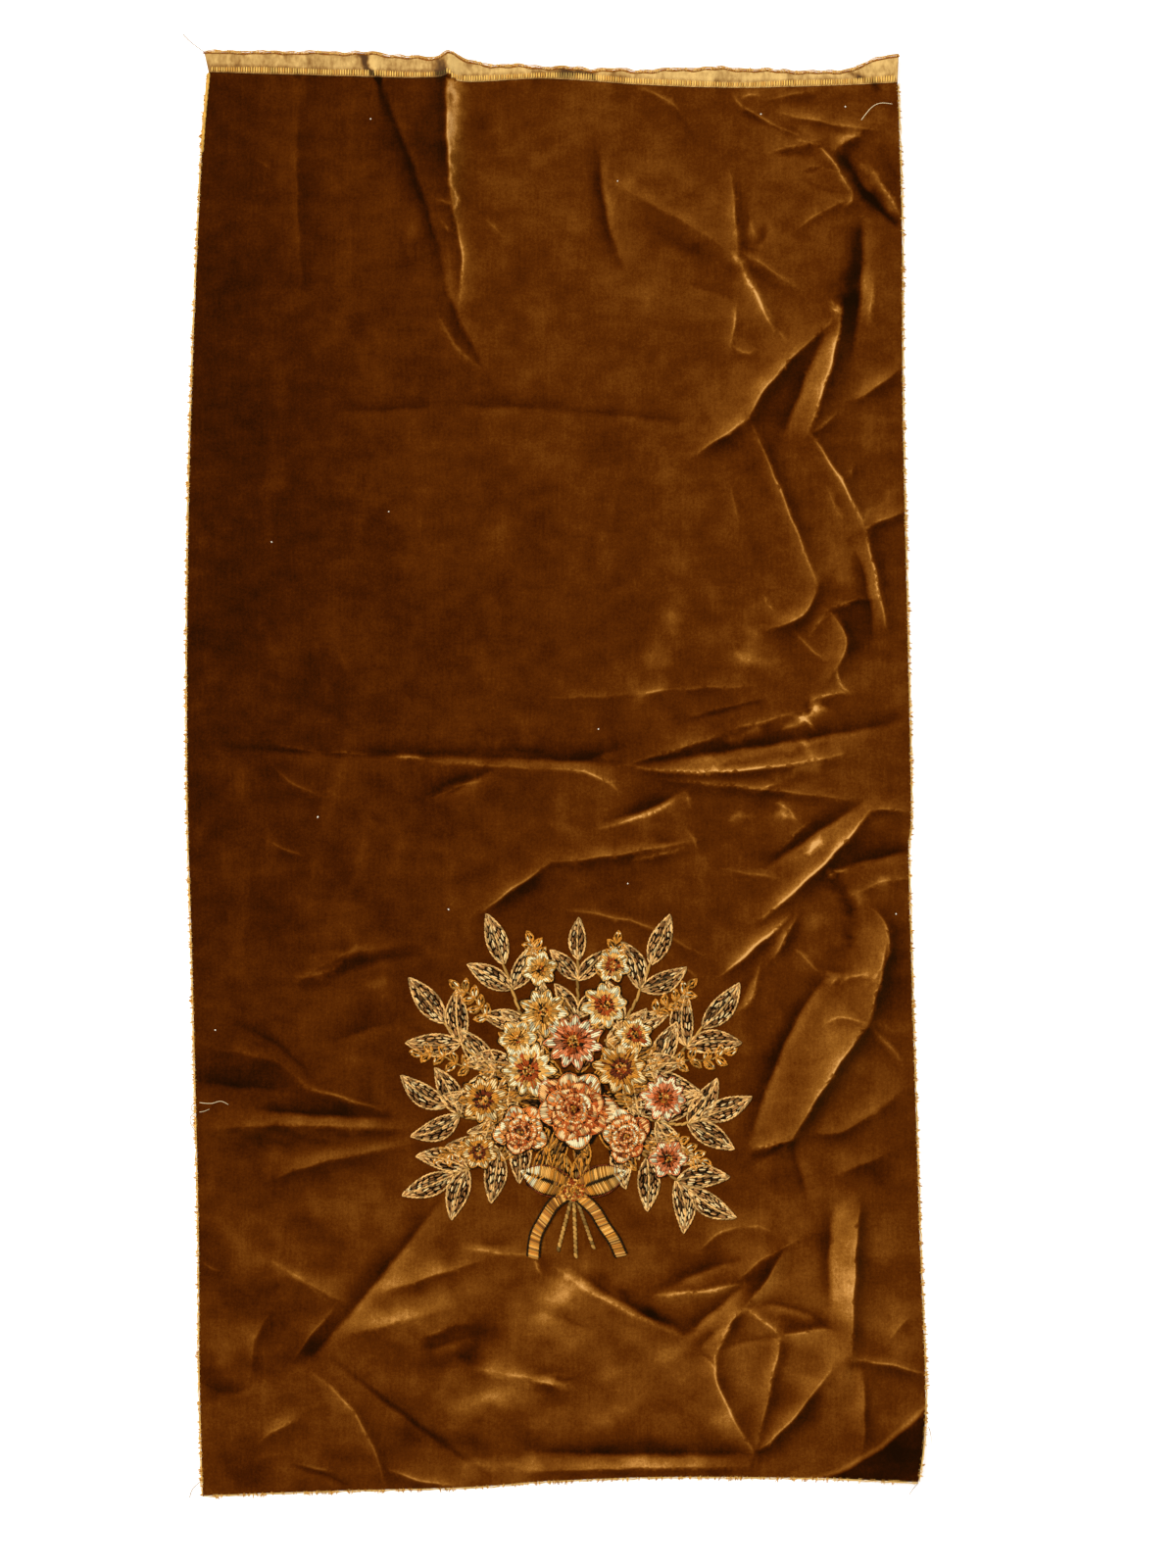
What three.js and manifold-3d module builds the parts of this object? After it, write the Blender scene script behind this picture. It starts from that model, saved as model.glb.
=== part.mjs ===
// A cut length of pile velvet with an embroidered bouquet, lying flat on a table.
// One short side keeps its bare woven selvedge, the other three are raw cuts that fray,
// and old packing folds cross the sheet. Millimetres, +Z up, the origin on the table under
// the middle of the cloth, +Y towards the selvedge.
import * as THREE from 'three';
import { mergeVertices } from 'three/addons/utils/BufferGeometryUtils.js';
import Module from 'manifold-3d';

const wasm = await Module();
wasm.setup();

// Cloth
const PILE_THICKNESS = 2.2;
const SELVEDGE_THICKNESS = 1.0;
const PILE_STEP = 1.2;
const SETTLING = 0.5;
const EDGE_SPACING = 14;
const FOLD_SPACING = 17;
const FLANK_REACH = 1.5;
const FIELD_SPACING = 38;
const FIELD_JITTER = 2;
const HALF_WIDTH = 320;
const HALF_LENGTH = 620;
const EDGE_CLEARANCE = 10.5;
const FOLD_CLEARANCE = 7;
const FIELD_CLEARANCE = 22;

// Fray
const FRAY_GAP = 0.3;
const FRAY_STRIP = 1.2;
const FRAY_THICKNESS = 1.0;
const FRAY_PITCH = 24;
const FRAY_SWAY = 0.6;
const FRAY_ROOT = 4;
const FRAY_END_INSET = 0.5;
const FRAY_SHORTEST = 1.4;
const FRAY_LONGEST = 3.4;

// Embroidery, centred on its own place on the cloth
const SPRAY_X = 16;
const SPRAY_Y = -281;
const SPRAY_GAP = 0.3;
const SPRAY_BASE = PILE_THICKNESS + SPRAY_GAP;
const STEM_WIDTH = 3;
const STEM_HEIGHT = 0.8;
const LEAF_EDGE = 0.7;
const LEAF_CROWN = 1.3;
const PETAL_EDGE = 1.0;
const PETAL_CROWN = 1.9;
const FLOWER_EYE = 2.5;

// The flat bed that the embroidery keeps in the cloth: its reach, the power that rounds its corners,
// and the share of its reach over which folds fade into it
const BED_REACH_X = 162;
const BED_REACH_Y = 158;
const BED_POWER = 4;
const BED_FADE = 0.16;
const BED_RIM_POINTS = 48;

function table(columns, rows) {
  return rows.map((row) => Object.fromEntries(columns.map((column, i) => [column, row[i]])));
}

// The cloth's outline, each side from end to end, and the line where the pile stops
const LEFT_EDGE = [
  [-313, -640], [-316, -531], [-317, -392], [-322, -183], [-327, 10], [-325, 270], [-315, 531], [-308, 622],
];
const RIGHT_EDGE = [
  [321, -626], [328, -560], [323, -409], [316, -183], [313, -70], [315, -9], [308, 313], [307, 478], [303, 612],
];
const BOTTOM_EDGE = [[-313, -640], [-206, -636], [-73, -632], [-6, -627], [116, -623], [321, -626]];
const SELVEDGE_EDGE = [
  [304, 637], [285, 634], [246, 623], [139, 626], [72, 624], [-6, 627], [-54, 629], [-82, 633], [-95, 641],
  [-110, 634], [-163, 639], [-224, 640], [-312, 641],
];
const PILE_BORDER = [
  [-308, 622], [-180, 618], [-106, 616], [-96, 620], [-83, 613], [-6, 616], [72, 611], [168, 608], [303, 612],
];

// Broad swells where the cloth doesn't lie quite flat
const BILLOWS = table(['x', 'y', 'reachX', 'reachY', 'rise'], [
  [238, 200, 113, 300, 3.5],
  [203, -487, 174, 148, 3.5],
  [-145, -531, 165, 113, 3],
  [-232, -296, 110, 61, 3.5],
  [46, 0, 261, 52, 2.5],
  [238, -252, 70, 113, 3.5],
  [-110, 557, 104, 130, 2],
  [229, 531, 96, 96, 3],
]);

// Packing folds: where each starts, passes and ends, its rise, with a valley below 0,
// and the width of its flank to the left and right of its run
const FOLDS = table(['from', 'via', 'to', 'rise', 'left', 'right'], [
  // selvedge pinch and the slanting tuck beside it
  [[-95, 650], [-96, 574], [-91, 500], 14, 9, 26],
  [[-91, 500], [-83, 461], [-86, 418], 4, 9, 14],
  [[-184, 672], [-128, 540], [-99, 440], -4, 14, 8],
  [[-99, 440], [-88, 405], [-59, 352], -4, 9, 9],
  // crossing creases of the upper right
  [[44, 528], [107, 494], [159, 461], 4, 12, 10],
  [[161, 459], [177, 426], [194, 393], 4, 7, 7],
  [[158, 602], [177, 585], [232, 559], 4, 8, 9],
  [[232, 559], [248, 539], [264, 513], 6, 9, 9],
  [[255, 548], [276, 515], [306, 485], -5, 10, 12],
  [[278, 539], [294, 515], [304, 496], 5, 8, 8],
  // long zigzag down the right side
  [[271, 487], [270, 436], [262, 372], -6, 12, 12],
  [[253, 412], [244, 364], [224, 304], 9, 16, 10],
  [[243, 400], [194, 352], [171, 315], 7, 9, 14],
  [[171, 315], [151, 302], [126, 285], 4, 9, 9],
  [[175, 308], [204, 239], [232, 167], 5, 9, 12],
  [[232, 167], [218, 141], [191, 130], 4, 7, 8],
  [[224, 304], [251, 263], [273, 221], 6, 9, 12],
  [[273, 221], [284, 174], [293, 130], 5, 8, 12],
  [[241, 146], [257, 117], [244, 89], 5, 9, 9],
  // pressed fold across the middle, fanning out to the right
  [[-119, 15], [-23, 14], [68, 8], -2.4, 8, 10],
  [[72, 10], [185, 26], [297, 45], -5, 10, 10],
  [[72, 6], [155, 3], [251, 17], 5, 7, 8],
  [[184, -127], [239, -78], [278, -33], 6, 7, 10],
  [[190, -80], [226, -55], [268, -28], -5, 9, 9],
  [[278, -33], [294, -31], [313, -33], 4, 10, 10],
  [[149, -177], [177, -153], [204, -129], 5, 7, 8],
  // broad lit band beside the embroidery
  [[284, -122], [296, -150], [281, -183], 5, 8, 10],
  [[293, -150], [286, -187], [277, -221], 7, 8, 20],
  [[277, -221], [246, -264], [208, -325], 10, 8, 28],
  [[236, -184], [203, -238], [171, -327], -5, 10, 12],
  [[210, -324], [190, -329], [175, -332], 4, 7, 7],
  [[232, -318], [261, -313], [304, -283], 2.5, 14, 12],
  // crumples of the lower right
  [[269, -385], [265, -435], [262, -519], 8, 7, 20],
  [[263, -519], [294, -523], [328, -532], 4, 8, 8],
  [[13, -435], [54, -465], [117, -494], -5, 10, 10],
  [[-1, -437], [45, -467], [113, -499], 4, 8, 8],
  [[91, -461], [129, -458], [168, -451], 4, 8, 8],
  [[168, -473], [190, -444], [204, -419], 4, 8, 8],
  [[168, -473], [184, -484], [199, -499], 4, 7, 7],
  [[168, -473], [155, -487], [147, -505], 4, 7, 7],
  [[147, -505], [144, -541], [177, -603], 4, 8, 8],
  [[177, -600], [203, -579], [244, -528], 4, 8, 9],
  [[-23, -618], [72, -615], [168, -614], 5, 8, 8],
  // creases of the lower left
  [[-215, -532], [-176, -570], [-152, -628], 5, 7, 9],
  [[-196, -521], [-135, -567], [-61, -621], -5, 10, 10],
  [[-214, -514], [-156, -446], [-104, -380], -3.4, 12, 12],
  [[-186, -496], [-145, -487], [-102, -475], 2.2, 12, 12],
  [[-72, -528], [-35, -533], [8, -545], 3, 12, 12],
  // pressed fold left of the embroidery
  [[-318, -273], [-276, -277], [-239, -280], -1.5, 12, 12],
  [[-265, -297], [-206, -302], [-151, -304], -4.5, 10, 10],
  [[-298, -314], [-235, -311], [-137, -315], 5, 12, 9],
  // ripples of the selvedge
  [[-161, 650], [-160, 628], [-156, 590], 5, 12, 9],
  [[48, 640], [48, 624], [50, 606], 2.5, 12, 12],
  [[139, 640], [139, 624], [141, 606], 2.5, 10, 12],
]);
const FOLD_SEGMENTS = 10;
const FOLD_END_SHARE = 0.55;
const CREST_ROUNDING = 0.35;
const VALLEY_SWELL = 3;
const FOLD_BLEND = 3;

// Corners that curl up: a point of the bend, the unit direction towards the corner,
// the lift at the corner and the distance over which it is reached
const CURLS = table(['x', 'y', 'towardsX', 'towardsY', 'lift', 'reach'], [
  [281, -596, 0.49, -0.87, 13, 48],
  [240, 640, 0.95, 0.31, 7, 75],
]);

const smoothstep = (value) => THREE.MathUtils.smoothstep(value, 0, 1);

function foldLine({ from, via, to }) {
  const [start, middle, end] = [from, via, to].map(([x, y]) => new THREE.Vector2(x, y));
  const control = middle.clone().multiplyScalar(2).sub(start.clone().add(end).multiplyScalar(0.5));
  return new THREE.QuadraticBezierCurve(start, control, end);
}

const foldPaths = FOLDS.map((fold) => ({ ...fold, points: foldLine(fold).getPoints(FOLD_SEGMENTS) }));

// Where a plan point lies against a fold: its distance, positive to the left, and how far along
function nearestOnFold(points, x, y) {
  let nearest = { distance: Infinity, side: 1, along: 0 };
  for (let i = 0; i + 1 < points.length; i += 1) {
    const [a, b] = [points[i], points[i + 1]];
    const [runX, runY] = [b.x - a.x, b.y - a.y];
    const share = ((x - a.x) * runX + (y - a.y) * runY) / (runX * runX + runY * runY);
    const t = THREE.MathUtils.clamp(share, 0, 1);
    const [awayX, awayY] = [x - a.x - t * runX, y - a.y - t * runY];
    const distance = Math.hypot(awayX, awayY);
    if (distance < nearest.distance) {
      const side = Math.sign(runX * awayY - runY * awayX) || 1;
      nearest = { distance, side, along: (i + t) / (points.length - 1) };
    }
  }
  return nearest;
}

// Height of the cloth's underside over the table
function height(x, y) {
  let swell = 0;
  for (const billow of BILLOWS) {
    const away = ((x - billow.x) / billow.reachX) ** 2 + ((y - billow.y) / billow.reachY) ** 2;
    swell += billow.rise * Math.exp(-2 * away);
  }
  let raised = 0;
  let sunk = 0;
  for (const fold of foldPaths) {
    const { distance, side, along } = nearestOnFold(fold.points, x, y);
    const width = side > 0 ? fold.left : fold.right;
    const taper = FOLD_END_SHARE + (1 - FOLD_END_SHARE) * Math.sin(Math.PI * along);
    const reach = distance / width;
    const crest = Math.abs(fold.rise) * taper * Math.exp(CREST_ROUNDING - Math.hypot(reach, CREST_ROUNDING));
    const shoulder = Math.abs(fold.rise) * taper * Math.exp(-((reach / VALLEY_SWELL) ** 2));
    raised += (fold.rise > 0 ? crest : shoulder) ** FOLD_BLEND;
    sunk += fold.rise > 0 ? 0 : crest ** FOLD_BLEND;
  }
  let lift = swell + Math.cbrt(raised) - Math.cbrt(sunk);
  for (const curl of CURLS) {
    const past = ((x - curl.x) * curl.towardsX + (y - curl.y) * curl.towardsY) / curl.reach;
    lift += curl.lift * smoothstep(past);
  }
  const [bedX, bedY] = [Math.abs(x - SPRAY_X) / BED_REACH_X, Math.abs(y - SPRAY_Y) / BED_REACH_Y];
  const fromBed = (bedX ** BED_POWER + bedY ** BED_POWER) ** (1 / BED_POWER);
  return Math.max(0, lift * smoothstep((fromBed - 1) / BED_FADE) - SETTLING);
}

// A closed plate over a plan mesh: every point has its underside's z and its own thickness
function plate(points, triangles) {
  const count = points.length;
  const positions = [
    ...points.flatMap(({ x, y, z, thick }) => [x, y, z + thick]),
    ...points.flatMap(({ x, y, z }) => [x, y, z]),
  ];
  const rim = new Map();
  for (const [a, b, c] of triangles) {
    for (const [start, end] of [[a, b], [b, c], [c, a]]) {
      if (!rim.delete(`${end} ${start}`)) rim.set(`${start} ${end}`, [start, end]);
    }
  }
  const faces = [
    ...triangles.flat(),
    ...triangles.flatMap(([a, b, c]) => [c + count, b + count, a + count]),
    ...[...rim.values()].flatMap(([a, b]) => [a + count, b + count, b, a + count, b, a]),
  ];
  const geometry = new THREE.BufferGeometry();
  geometry.setAttribute('position', new THREE.Float32BufferAttribute(positions, 3));
  geometry.setIndex(faces);
  return geometry;
}

const splineThrough = (points) => new THREE.SplineCurve(points.map(([x, y]) => new THREE.Vector2(x, y)));

function spaced(points, spacing) {
  const curve = splineThrough(points);
  return curve.getSpacedPoints(Math.round(curve.getLength() / spacing));
}

const leftEdge = spaced(LEFT_EDGE, EDGE_SPACING);
const rightEdge = spaced(RIGHT_EDGE, EDGE_SPACING);
const bottomEdge = spaced(BOTTOM_EDGE, EDGE_SPACING);
const selvedgeEdge = spaced(SELVEDGE_EDGE, EDGE_SPACING);
const pileBorder = spaced(PILE_BORDER, EDGE_SPACING);
const stepFoot = pileBorder.map(({ x, y }) => new THREE.Vector2(x, y + PILE_STEP));

function insideOutline(outline, { x, y }) {
  let inside = false;
  outline.forEach((a, i) => {
    const b = outline[(i + 1) % outline.length];
    if (a.y > y !== b.y > y && x < a.x + ((y - a.y) / (b.y - a.y)) * (b.x - a.x)) inside = !inside;
  });
  return inside;
}

// Triangles with the circle through their corners, which tells whether a new point disturbs them
function circledTriangle(points, corners) {
  const [a, b, c] = corners.map((corner) => points[corner]);
  const [bx, by, cx, cy] = [b.x - a.x, b.y - a.y, c.x - a.x, c.y - a.y];
  const twist = 2 * (bx * cy - by * cx);
  const [b2, c2] = [bx * bx + by * by, cx * cx + cy * cy];
  const [ux, uy] = [(cy * b2 - by * c2) / twist, (bx * c2 - cx * b2) / twist];
  return { corners, x: a.x + ux, y: a.y + uy, radiusSquared: ux * ux + uy * uy };
}

// Delaunay mesh: each new point replaces the triangles whose circle holds it
function delaunay(points) {
  const FAR = 1e5;
  const count = points.length;
  const all = [...points, { x: -FAR, y: -FAR }, { x: FAR, y: -FAR }, { x: 0, y: FAR }];
  let mesh = [circledTriangle(all, [count, count + 1, count + 2])];
  points.forEach(({ x, y }, index) => {
    const rim = new Map();
    mesh = mesh.filter((triangle) => {
      if ((triangle.x - x) ** 2 + (triangle.y - y) ** 2 > triangle.radiusSquared) return true;
      const [a, b, c] = triangle.corners;
      for (const [start, end] of [[a, b], [b, c], [c, a]]) {
        if (!rim.delete(`${end} ${start}`)) rim.set(`${start} ${end}`, [start, end]);
      }
      return false;
    });
    for (const [start, end] of rim.values()) mesh.push(circledTriangle(all, [start, end, index]));
  });
  return mesh.map(({ corners }) => corners).filter((corners) => Math.max(...corners) < count);
}

// Crest and foot lines of the folds, where the cloth's mesh needs its points
function foldPoints() {
  const found = [];
  for (const fold of FOLDS) {
    const line = foldLine(fold);
    const steps = Math.max(2, Math.round(line.getLength() / FOLD_SPACING));
    for (let step = 0; step <= steps; step += 1) {
      const crest = line.getPointAt(step / steps);
      const run = line.getTangentAt(step / steps);
      for (const reach of [0, FLANK_REACH * fold.left, -FLANK_REACH * fold.right]) {
        found.push({ x: crest.x - run.y * reach, y: crest.y + run.x * reach, onCrest: reach === 0 });
      }
    }
  }
  return found.sort((a, b) => b.onCrest - a.onCrest);
}

// The rim of the flat bed
function bedPoints() {
  return Array.from({ length: BED_RIM_POINTS }, (_, i) => {
    const turn = (2 * Math.PI * i) / BED_RIM_POINTS;
    const [cos, sin] = [Math.cos(turn), Math.sin(turn)];
    const reach = (Math.abs(cos) ** BED_POWER + Math.abs(sin) ** BED_POWER) ** (-1 / BED_POWER);
    return { x: SPRAY_X + BED_REACH_X * reach * cos, y: SPRAY_Y + BED_REACH_Y * reach * sin };
  });
}

// Staggered points over the open cloth, a little uneven so that no four share a circle
function fieldPoints() {
  const found = [];
  const rowSpacing = FIELD_SPACING * Math.sin(Math.PI / 3);
  for (let row = 0, y = -HALF_LENGTH; y < HALF_LENGTH; row += 1, y += rowSpacing) {
    for (let x = -HALF_WIDTH + ((row % 2) * FIELD_SPACING) / 2; x < HALF_WIDTH; x += FIELD_SPACING) {
      found.push({ x: x + FIELD_JITTER * Math.sin(y + x), y: y + FIELD_JITTER * Math.cos(3 * x - y) });
    }
  }
  return found;
}

function velvetPanel() {
  const outline = [
    ...bottomEdge.slice(0, -1), ...rightEdge, stepFoot.at(-1),
    ...selvedgeEdge, stepFoot[0], ...leftEdge.toReversed().slice(0, -1),
  ];
  const onBand = new Set([...selvedgeEdge, ...stepFoot]);
  const points = [...outline, ...pileBorder.slice(1, -1), ...stepFoot.slice(1, -1)];
  const edgeCount = points.length;
  const borderHeight = (x) => pileBorder.reduce((a, b) => (Math.abs(b.x - x) < Math.abs(a.x - x) ? b : a)).y;
  const addClear = (candidates, clearance) => {
    for (const point of candidates) {
      const clear = points.every((other, i) => {
        const needed = i < edgeCount ? EDGE_CLEARANCE : clearance;
        return Math.hypot(other.x - point.x, other.y - point.y) > needed;
      });
      if (clear && insideOutline(outline, point)) points.push(point);
    }
  };
  addClear(bedPoints(), FOLD_CLEARANCE);
  addClear(foldPoints(), FOLD_CLEARANCE);
  addClear(fieldPoints(), FIELD_CLEARANCE);
  const triangles = delaunay(points).filter((corners) => {
    const [a, b, c] = corners.map((corner) => points[corner]);
    return insideOutline(outline, { x: (a.x + b.x + c.x) / 3, y: (a.y + b.y + c.y) / 3 });
  });
  const shaped = points.map((point, i) => {
    const bare = onBand.has(point) || (i >= edgeCount && point.y > borderHeight(point.x));
    const thick = bare ? SELVEDGE_THICKNESS : PILE_THICKNESS;
    return { x: point.x, y: point.y, z: height(point.x, point.y), thick };
  });
  return plate(shaped, triangles);
}

// Frayed ground threads: a narrow strip along a raw edge, with pointed locks standing out of it
function fray(edge, outwardX, outwardY, seed) {
  const lengths = [0];
  edge.slice(1).forEach((point, i) => lengths.push(lengths[i] + point.distanceTo(edge[i])));
  const pointAt = (length) => {
    const next = Math.max(1, lengths.findIndex((reached) => reached >= length));
    const share = (length - lengths[next - 1]) / (lengths[next] - lengths[next - 1]);
    return edge[next - 1].clone().lerp(edge[next], share);
  };
  const points = [];
  const triangles = [];
  const add = (place, outward, z) => points.push({
    x: place.x + outward * outwardX, y: place.y + outward * outwardY, z, thick: FRAY_THICKNESS,
  }) - 1;
  const locks = Math.floor(lengths.at(-1) / FRAY_PITCH);
  const pitch = lengths.at(-1) / locks;
  const run = edge.at(-1).clone().sub(edge[0]);
  const outwardIsLeft = run.x * outwardY - run.y * outwardX > 0;
  const face = (a, b, c) => triangles.push(outwardIsLeft ? [a, c, b] : [a, b, c]);
  let last = null;
  const station = (length) => {
    const place = pointAt(length);
    const z = height(place.x, place.y);
    const [inner, outer] = [FRAY_GAP, FRAY_GAP + FRAY_STRIP].map((outward) => add(place, outward, z));
    if (last) {
      face(last.inner, last.outer, outer);
      face(last.inner, outer, inner);
    }
    const previous = last;
    last = { inner, outer, place, z };
    return previous;
  };
  station(FRAY_END_INSET);
  THREE.MathUtils.seededRandom(seed);
  for (let lock = 0; lock < locks; lock += 1) {
    const sway = (THREE.MathUtils.seededRandom() - 0.5) * FRAY_SWAY;
    const start = (lock + 0.5 + sway) * pitch - FRAY_ROOT / 2;
    station(start);
    const root = station(start + FRAY_ROOT);
    const reach = THREE.MathUtils.lerp(FRAY_SHORTEST, FRAY_LONGEST, THREE.MathUtils.seededRandom());
    const tip = pointAt(start + FRAY_ROOT * THREE.MathUtils.seededRandom());
    face(root.outer, add(tip, FRAY_GAP + FRAY_STRIP + reach, root.z), last.outer);
  }
  station(lengths.at(-1) - FRAY_END_INSET);
  return plate(points, triangles);
}

// Bouquet, in places measured from the middle of the embroidery. A low bed of foliage stitches joins
// the flowers, and every stem starts in it at a share of the way to its end. A leaf spray bends,
// ends and carries leaves of one length on its outer part
const FOLIAGE = { x: 0, y: -4, radius: 76, lobes: 9, dent: 0.2, height: 0.6 };
const STEM_START = 0.4;
const SPRAYS = table(['bend', 'to', 'leaf'], [
  [[-40, 40], [-62, 112], 48],
  [[-70, 0], [-114, 60], 52],
  [[-80, -40], [-112, -14], 50],
  [[-70, -60], [-106, -74], 50],
  [[4, 60], [4, 116], 38],
  [[40, 40], [68, 112], 48],
  [[70, 0], [114, 56], 52],
  [[80, -40], [112, -24], 50],
  [[70, -66], [102, -86], 50],
]);
const LEAF_PAIRS = [0.45, 0.8];
const LEAF_TIP = 0.97;
const LEAF_LEAN = 0.75;
const LEAF_SLIMNESS = 0.38;
const LEAF_ROOT = 3;

// Roses with stacked rings of petals
const ROSES = table(['x', 'y', 'radius', 'petals'], [[0, -16, 38, 8], [-47, -36, 26, 6], [47, -40, 26, 6]]);
const ROSE_TIERS = table(['share', 'lessPetals', 'edge', 'crown'], [
  [1, 0, 1.0, 1.6],
  [0.62, 1, 1.8, 2.3],
  [0.34, 2, 2.5, 2.9],
]);
const ROSE_DENT = 0.14;

// Open flowers with a raised eye
const FLOWERS = table(['x', 'y', 'radius', 'petals', 'dent'], [
  [-40, 18, 23, 10, 0.3],
  [42, 20, 23, 9, 0.3],
  [0, 44, 24, 11, 0.3],
  [-27, 70, 20, 9, 0.3],
  [28, 76, 20, 8, 0.3],
  [-80, -8, 20, 9, 0.3],
  [80, -6, 20, 10, 0.3],
  [-50, 46, 16, 6, 0.26],
  [54, 50, 16, 7, 0.26],
  [-84, -54, 16, 7, 0.26],
  [84, -60, 16, 6, 0.26],
  [-30, 108, 15, 6, 0.26],
  [35, 112, 15, 7, 0.26],
]);
const EYE_SHARE = 0.3;
const EYE_LOBES = 2;
const POINTS_PER_LOBE = 3;

// Bow and cut stems below the flowers
const KNOT = { x: 0, y: -88, radius: 11 };
const BOW_LOOPS = table(['turn', 'length', 'width'], [[160, 48, 25], [20, 48, 25]]);
const BOW_TAILS = table(['bend', 'to', 'width'], [
  [[-26, -112], [-36, -148], 11],
  [[24, -114], [42, -146], 11],
]);
const STEMS_FROM = [0, -50];
const CUT_STEMS = [[-14, -142], [2, -148], [18, -140]];

// A padded motif: flat underneath, with its top rising from the outline to a crown in the middle
function padded(outline, middle, edge, crown) {
  const points = [...outline, middle].map(({ x, y }) => ({ x, y, z: SPRAY_BASE, thick: edge }));
  points.at(-1).thick = crown;
  const triangles = outline.map((_, i) => [i, (i + 1) % outline.length, outline.length]);
  return plate(points, triangles);
}

// A pointed oval from a place, as a leaf or a petal: its shares of length and half width, out and back
const OVAL = table(['along', 'across'], [[0, 0], [0.3, -0.8], [0.7, -0.9], [1, 0], [0.7, 0.9], [0.3, 0.8]]);

function oval(x, y, turn, length, width, edge = LEAF_EDGE, crown = LEAF_CROWN) {
  const [cos, sin] = [Math.cos(turn), Math.sin(turn)];
  const place = (along, across) => ({ x: x + along * cos - across * sin, y: y + along * sin + across * cos });
  const outline = OVAL.map(({ along, across }) => place(along * length, (across * width) / 2));
  return padded(outline, place(0.5 * length, 0), edge, crown);
}

function disc(x, y, radius, lobes, dent, edge, crown) {
  const sides = POINTS_PER_LOBE * lobes;
  const outline = Array.from({ length: sides }, (_, i) => {
    const turn = (2 * Math.PI * i) / sides;
    const reach = radius * (1 - dent * (1 - Math.cos(lobes * turn)) * 0.5);
    return { x: x + reach * Math.cos(turn), y: y + reach * Math.sin(turn) };
  });
  return padded(outline, { x, y }, edge, crown);
}

const STEM_STEPS = 3;

function ribbon(from, bend, to, width, thick) {
  const curve = new THREE.QuadraticBezierCurve(...[from, bend, to].map(([x, y]) => new THREE.Vector2(x, y)));
  const points = [];
  const triangles = [];
  for (let step = 0; step <= STEM_STEPS; step += 1) {
    const { x, y } = curve.getPointAt(step / STEM_STEPS);
    const run = curve.getTangentAt(step / STEM_STEPS);
    for (const across of [-0.5 * width, 0.5 * width]) {
      points.push({ x: x - run.y * across, y: y + run.x * across, z: SPRAY_BASE, thick });
    }
    const right = 2 * step;
    if (step < STEM_STEPS) triangles.push([right, right + 2, right + 3], [right, right + 3, right + 1]);
  }
  return plate(points, triangles);
}

function leafSpray({ bend, to, leaf }) {
  const from = to.map((place) => STEM_START * place);
  const curve = new THREE.QuadraticBezierCurve(...[from, bend, to].map(([x, y]) => new THREE.Vector2(x, y)));
  const leaves = LEAF_PAIRS.flatMap((share) => [-LEAF_LEAN, LEAF_LEAN].map((lean) => ({ share, lean })));
  return [
    ribbon(from, bend, to, STEM_WIDTH, STEM_HEIGHT),
    ...[...leaves, { share: LEAF_TIP, lean: 0 }].map(({ share, lean }) => {
      const turn = curve.getTangentAt(share).angle() + lean;
      const { x, y } = curve.getPointAt(share);
      return oval(x - LEAF_ROOT * Math.cos(turn), y - LEAF_ROOT * Math.sin(turn), turn, leaf, LEAF_SLIMNESS * leaf);
    }),
  ];
}

function rose({ x, y, radius, petals }) {
  return ROSE_TIERS.map(({ share, lessPetals, edge, crown }) => (
    disc(x, y, share * radius, petals - lessPetals, ROSE_DENT, edge, crown)
  ));
}

function openFlower({ x, y, radius, petals, dent }) {
  return [
    disc(x, y, radius, petals, dent, PETAL_EDGE, PETAL_CROWN),
    disc(x, y, EYE_SHARE * radius, EYE_LOBES, 0, PETAL_CROWN, FLOWER_EYE),
  ];
}

function bow() {
  const from = [KNOT.x, KNOT.y];
  return [
    disc(KNOT.x, KNOT.y, KNOT.radius, EYE_LOBES, 0, PETAL_EDGE, FLOWER_EYE),
    ...BOW_LOOPS.map(({ turn, length, width }) => (
      oval(...from, THREE.MathUtils.degToRad(turn), length, width, PETAL_EDGE, PETAL_CROWN)
    )),
    ...BOW_TAILS.map(({ bend, to, width }) => ribbon(from, bend, to, width, PETAL_EDGE)),
    ...CUT_STEMS.map((end) => ribbon(STEMS_FROM, from, end, STEM_WIDTH, STEM_HEIGHT)),
  ];
}

function solidOf(geometry) {
  const merged = mergeVertices(geometry);
  return new wasm.Manifold(new wasm.Mesh({
    numProp: 3,
    vertProperties: new Float32Array(merged.attributes.position.array),
    triVerts: new Uint32Array(merged.index.array),
  }));
}

function embroideredBouquet() {
  const { x, y, radius, lobes, dent, height: low } = FOLIAGE;
  const motifs = [
    disc(x, y, radius, lobes, dent, low, low), ...SPRAYS.flatMap(leafSpray), ...bow(),
    ...ROSES.flatMap(rose), ...FLOWERS.flatMap(openFlower),
  ];
  const joined = motifs.map(solidOf).reduce((whole, motif) => whole.add(motif)).getMesh();
  const geometry = new THREE.BufferGeometry();
  geometry.setAttribute('position', new THREE.Float32BufferAttribute(joined.vertProperties, 3));
  geometry.setIndex([...joined.triVerts]);
  return geometry.translate(SPRAY_X, SPRAY_Y, 0);
}

const velvetPile = new THREE.MeshStandardMaterial({ color: 0x6e390b, roughness: 0.85, metalness: 0 });
const groundThread = new THREE.MeshStandardMaterial({ color: 0xd1a358, roughness: 0.8, metalness: 0 });
const stitchedThread = new THREE.MeshStandardMaterial({ color: 0xc49a5e, roughness: 0.45, metalness: 0 });

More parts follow.
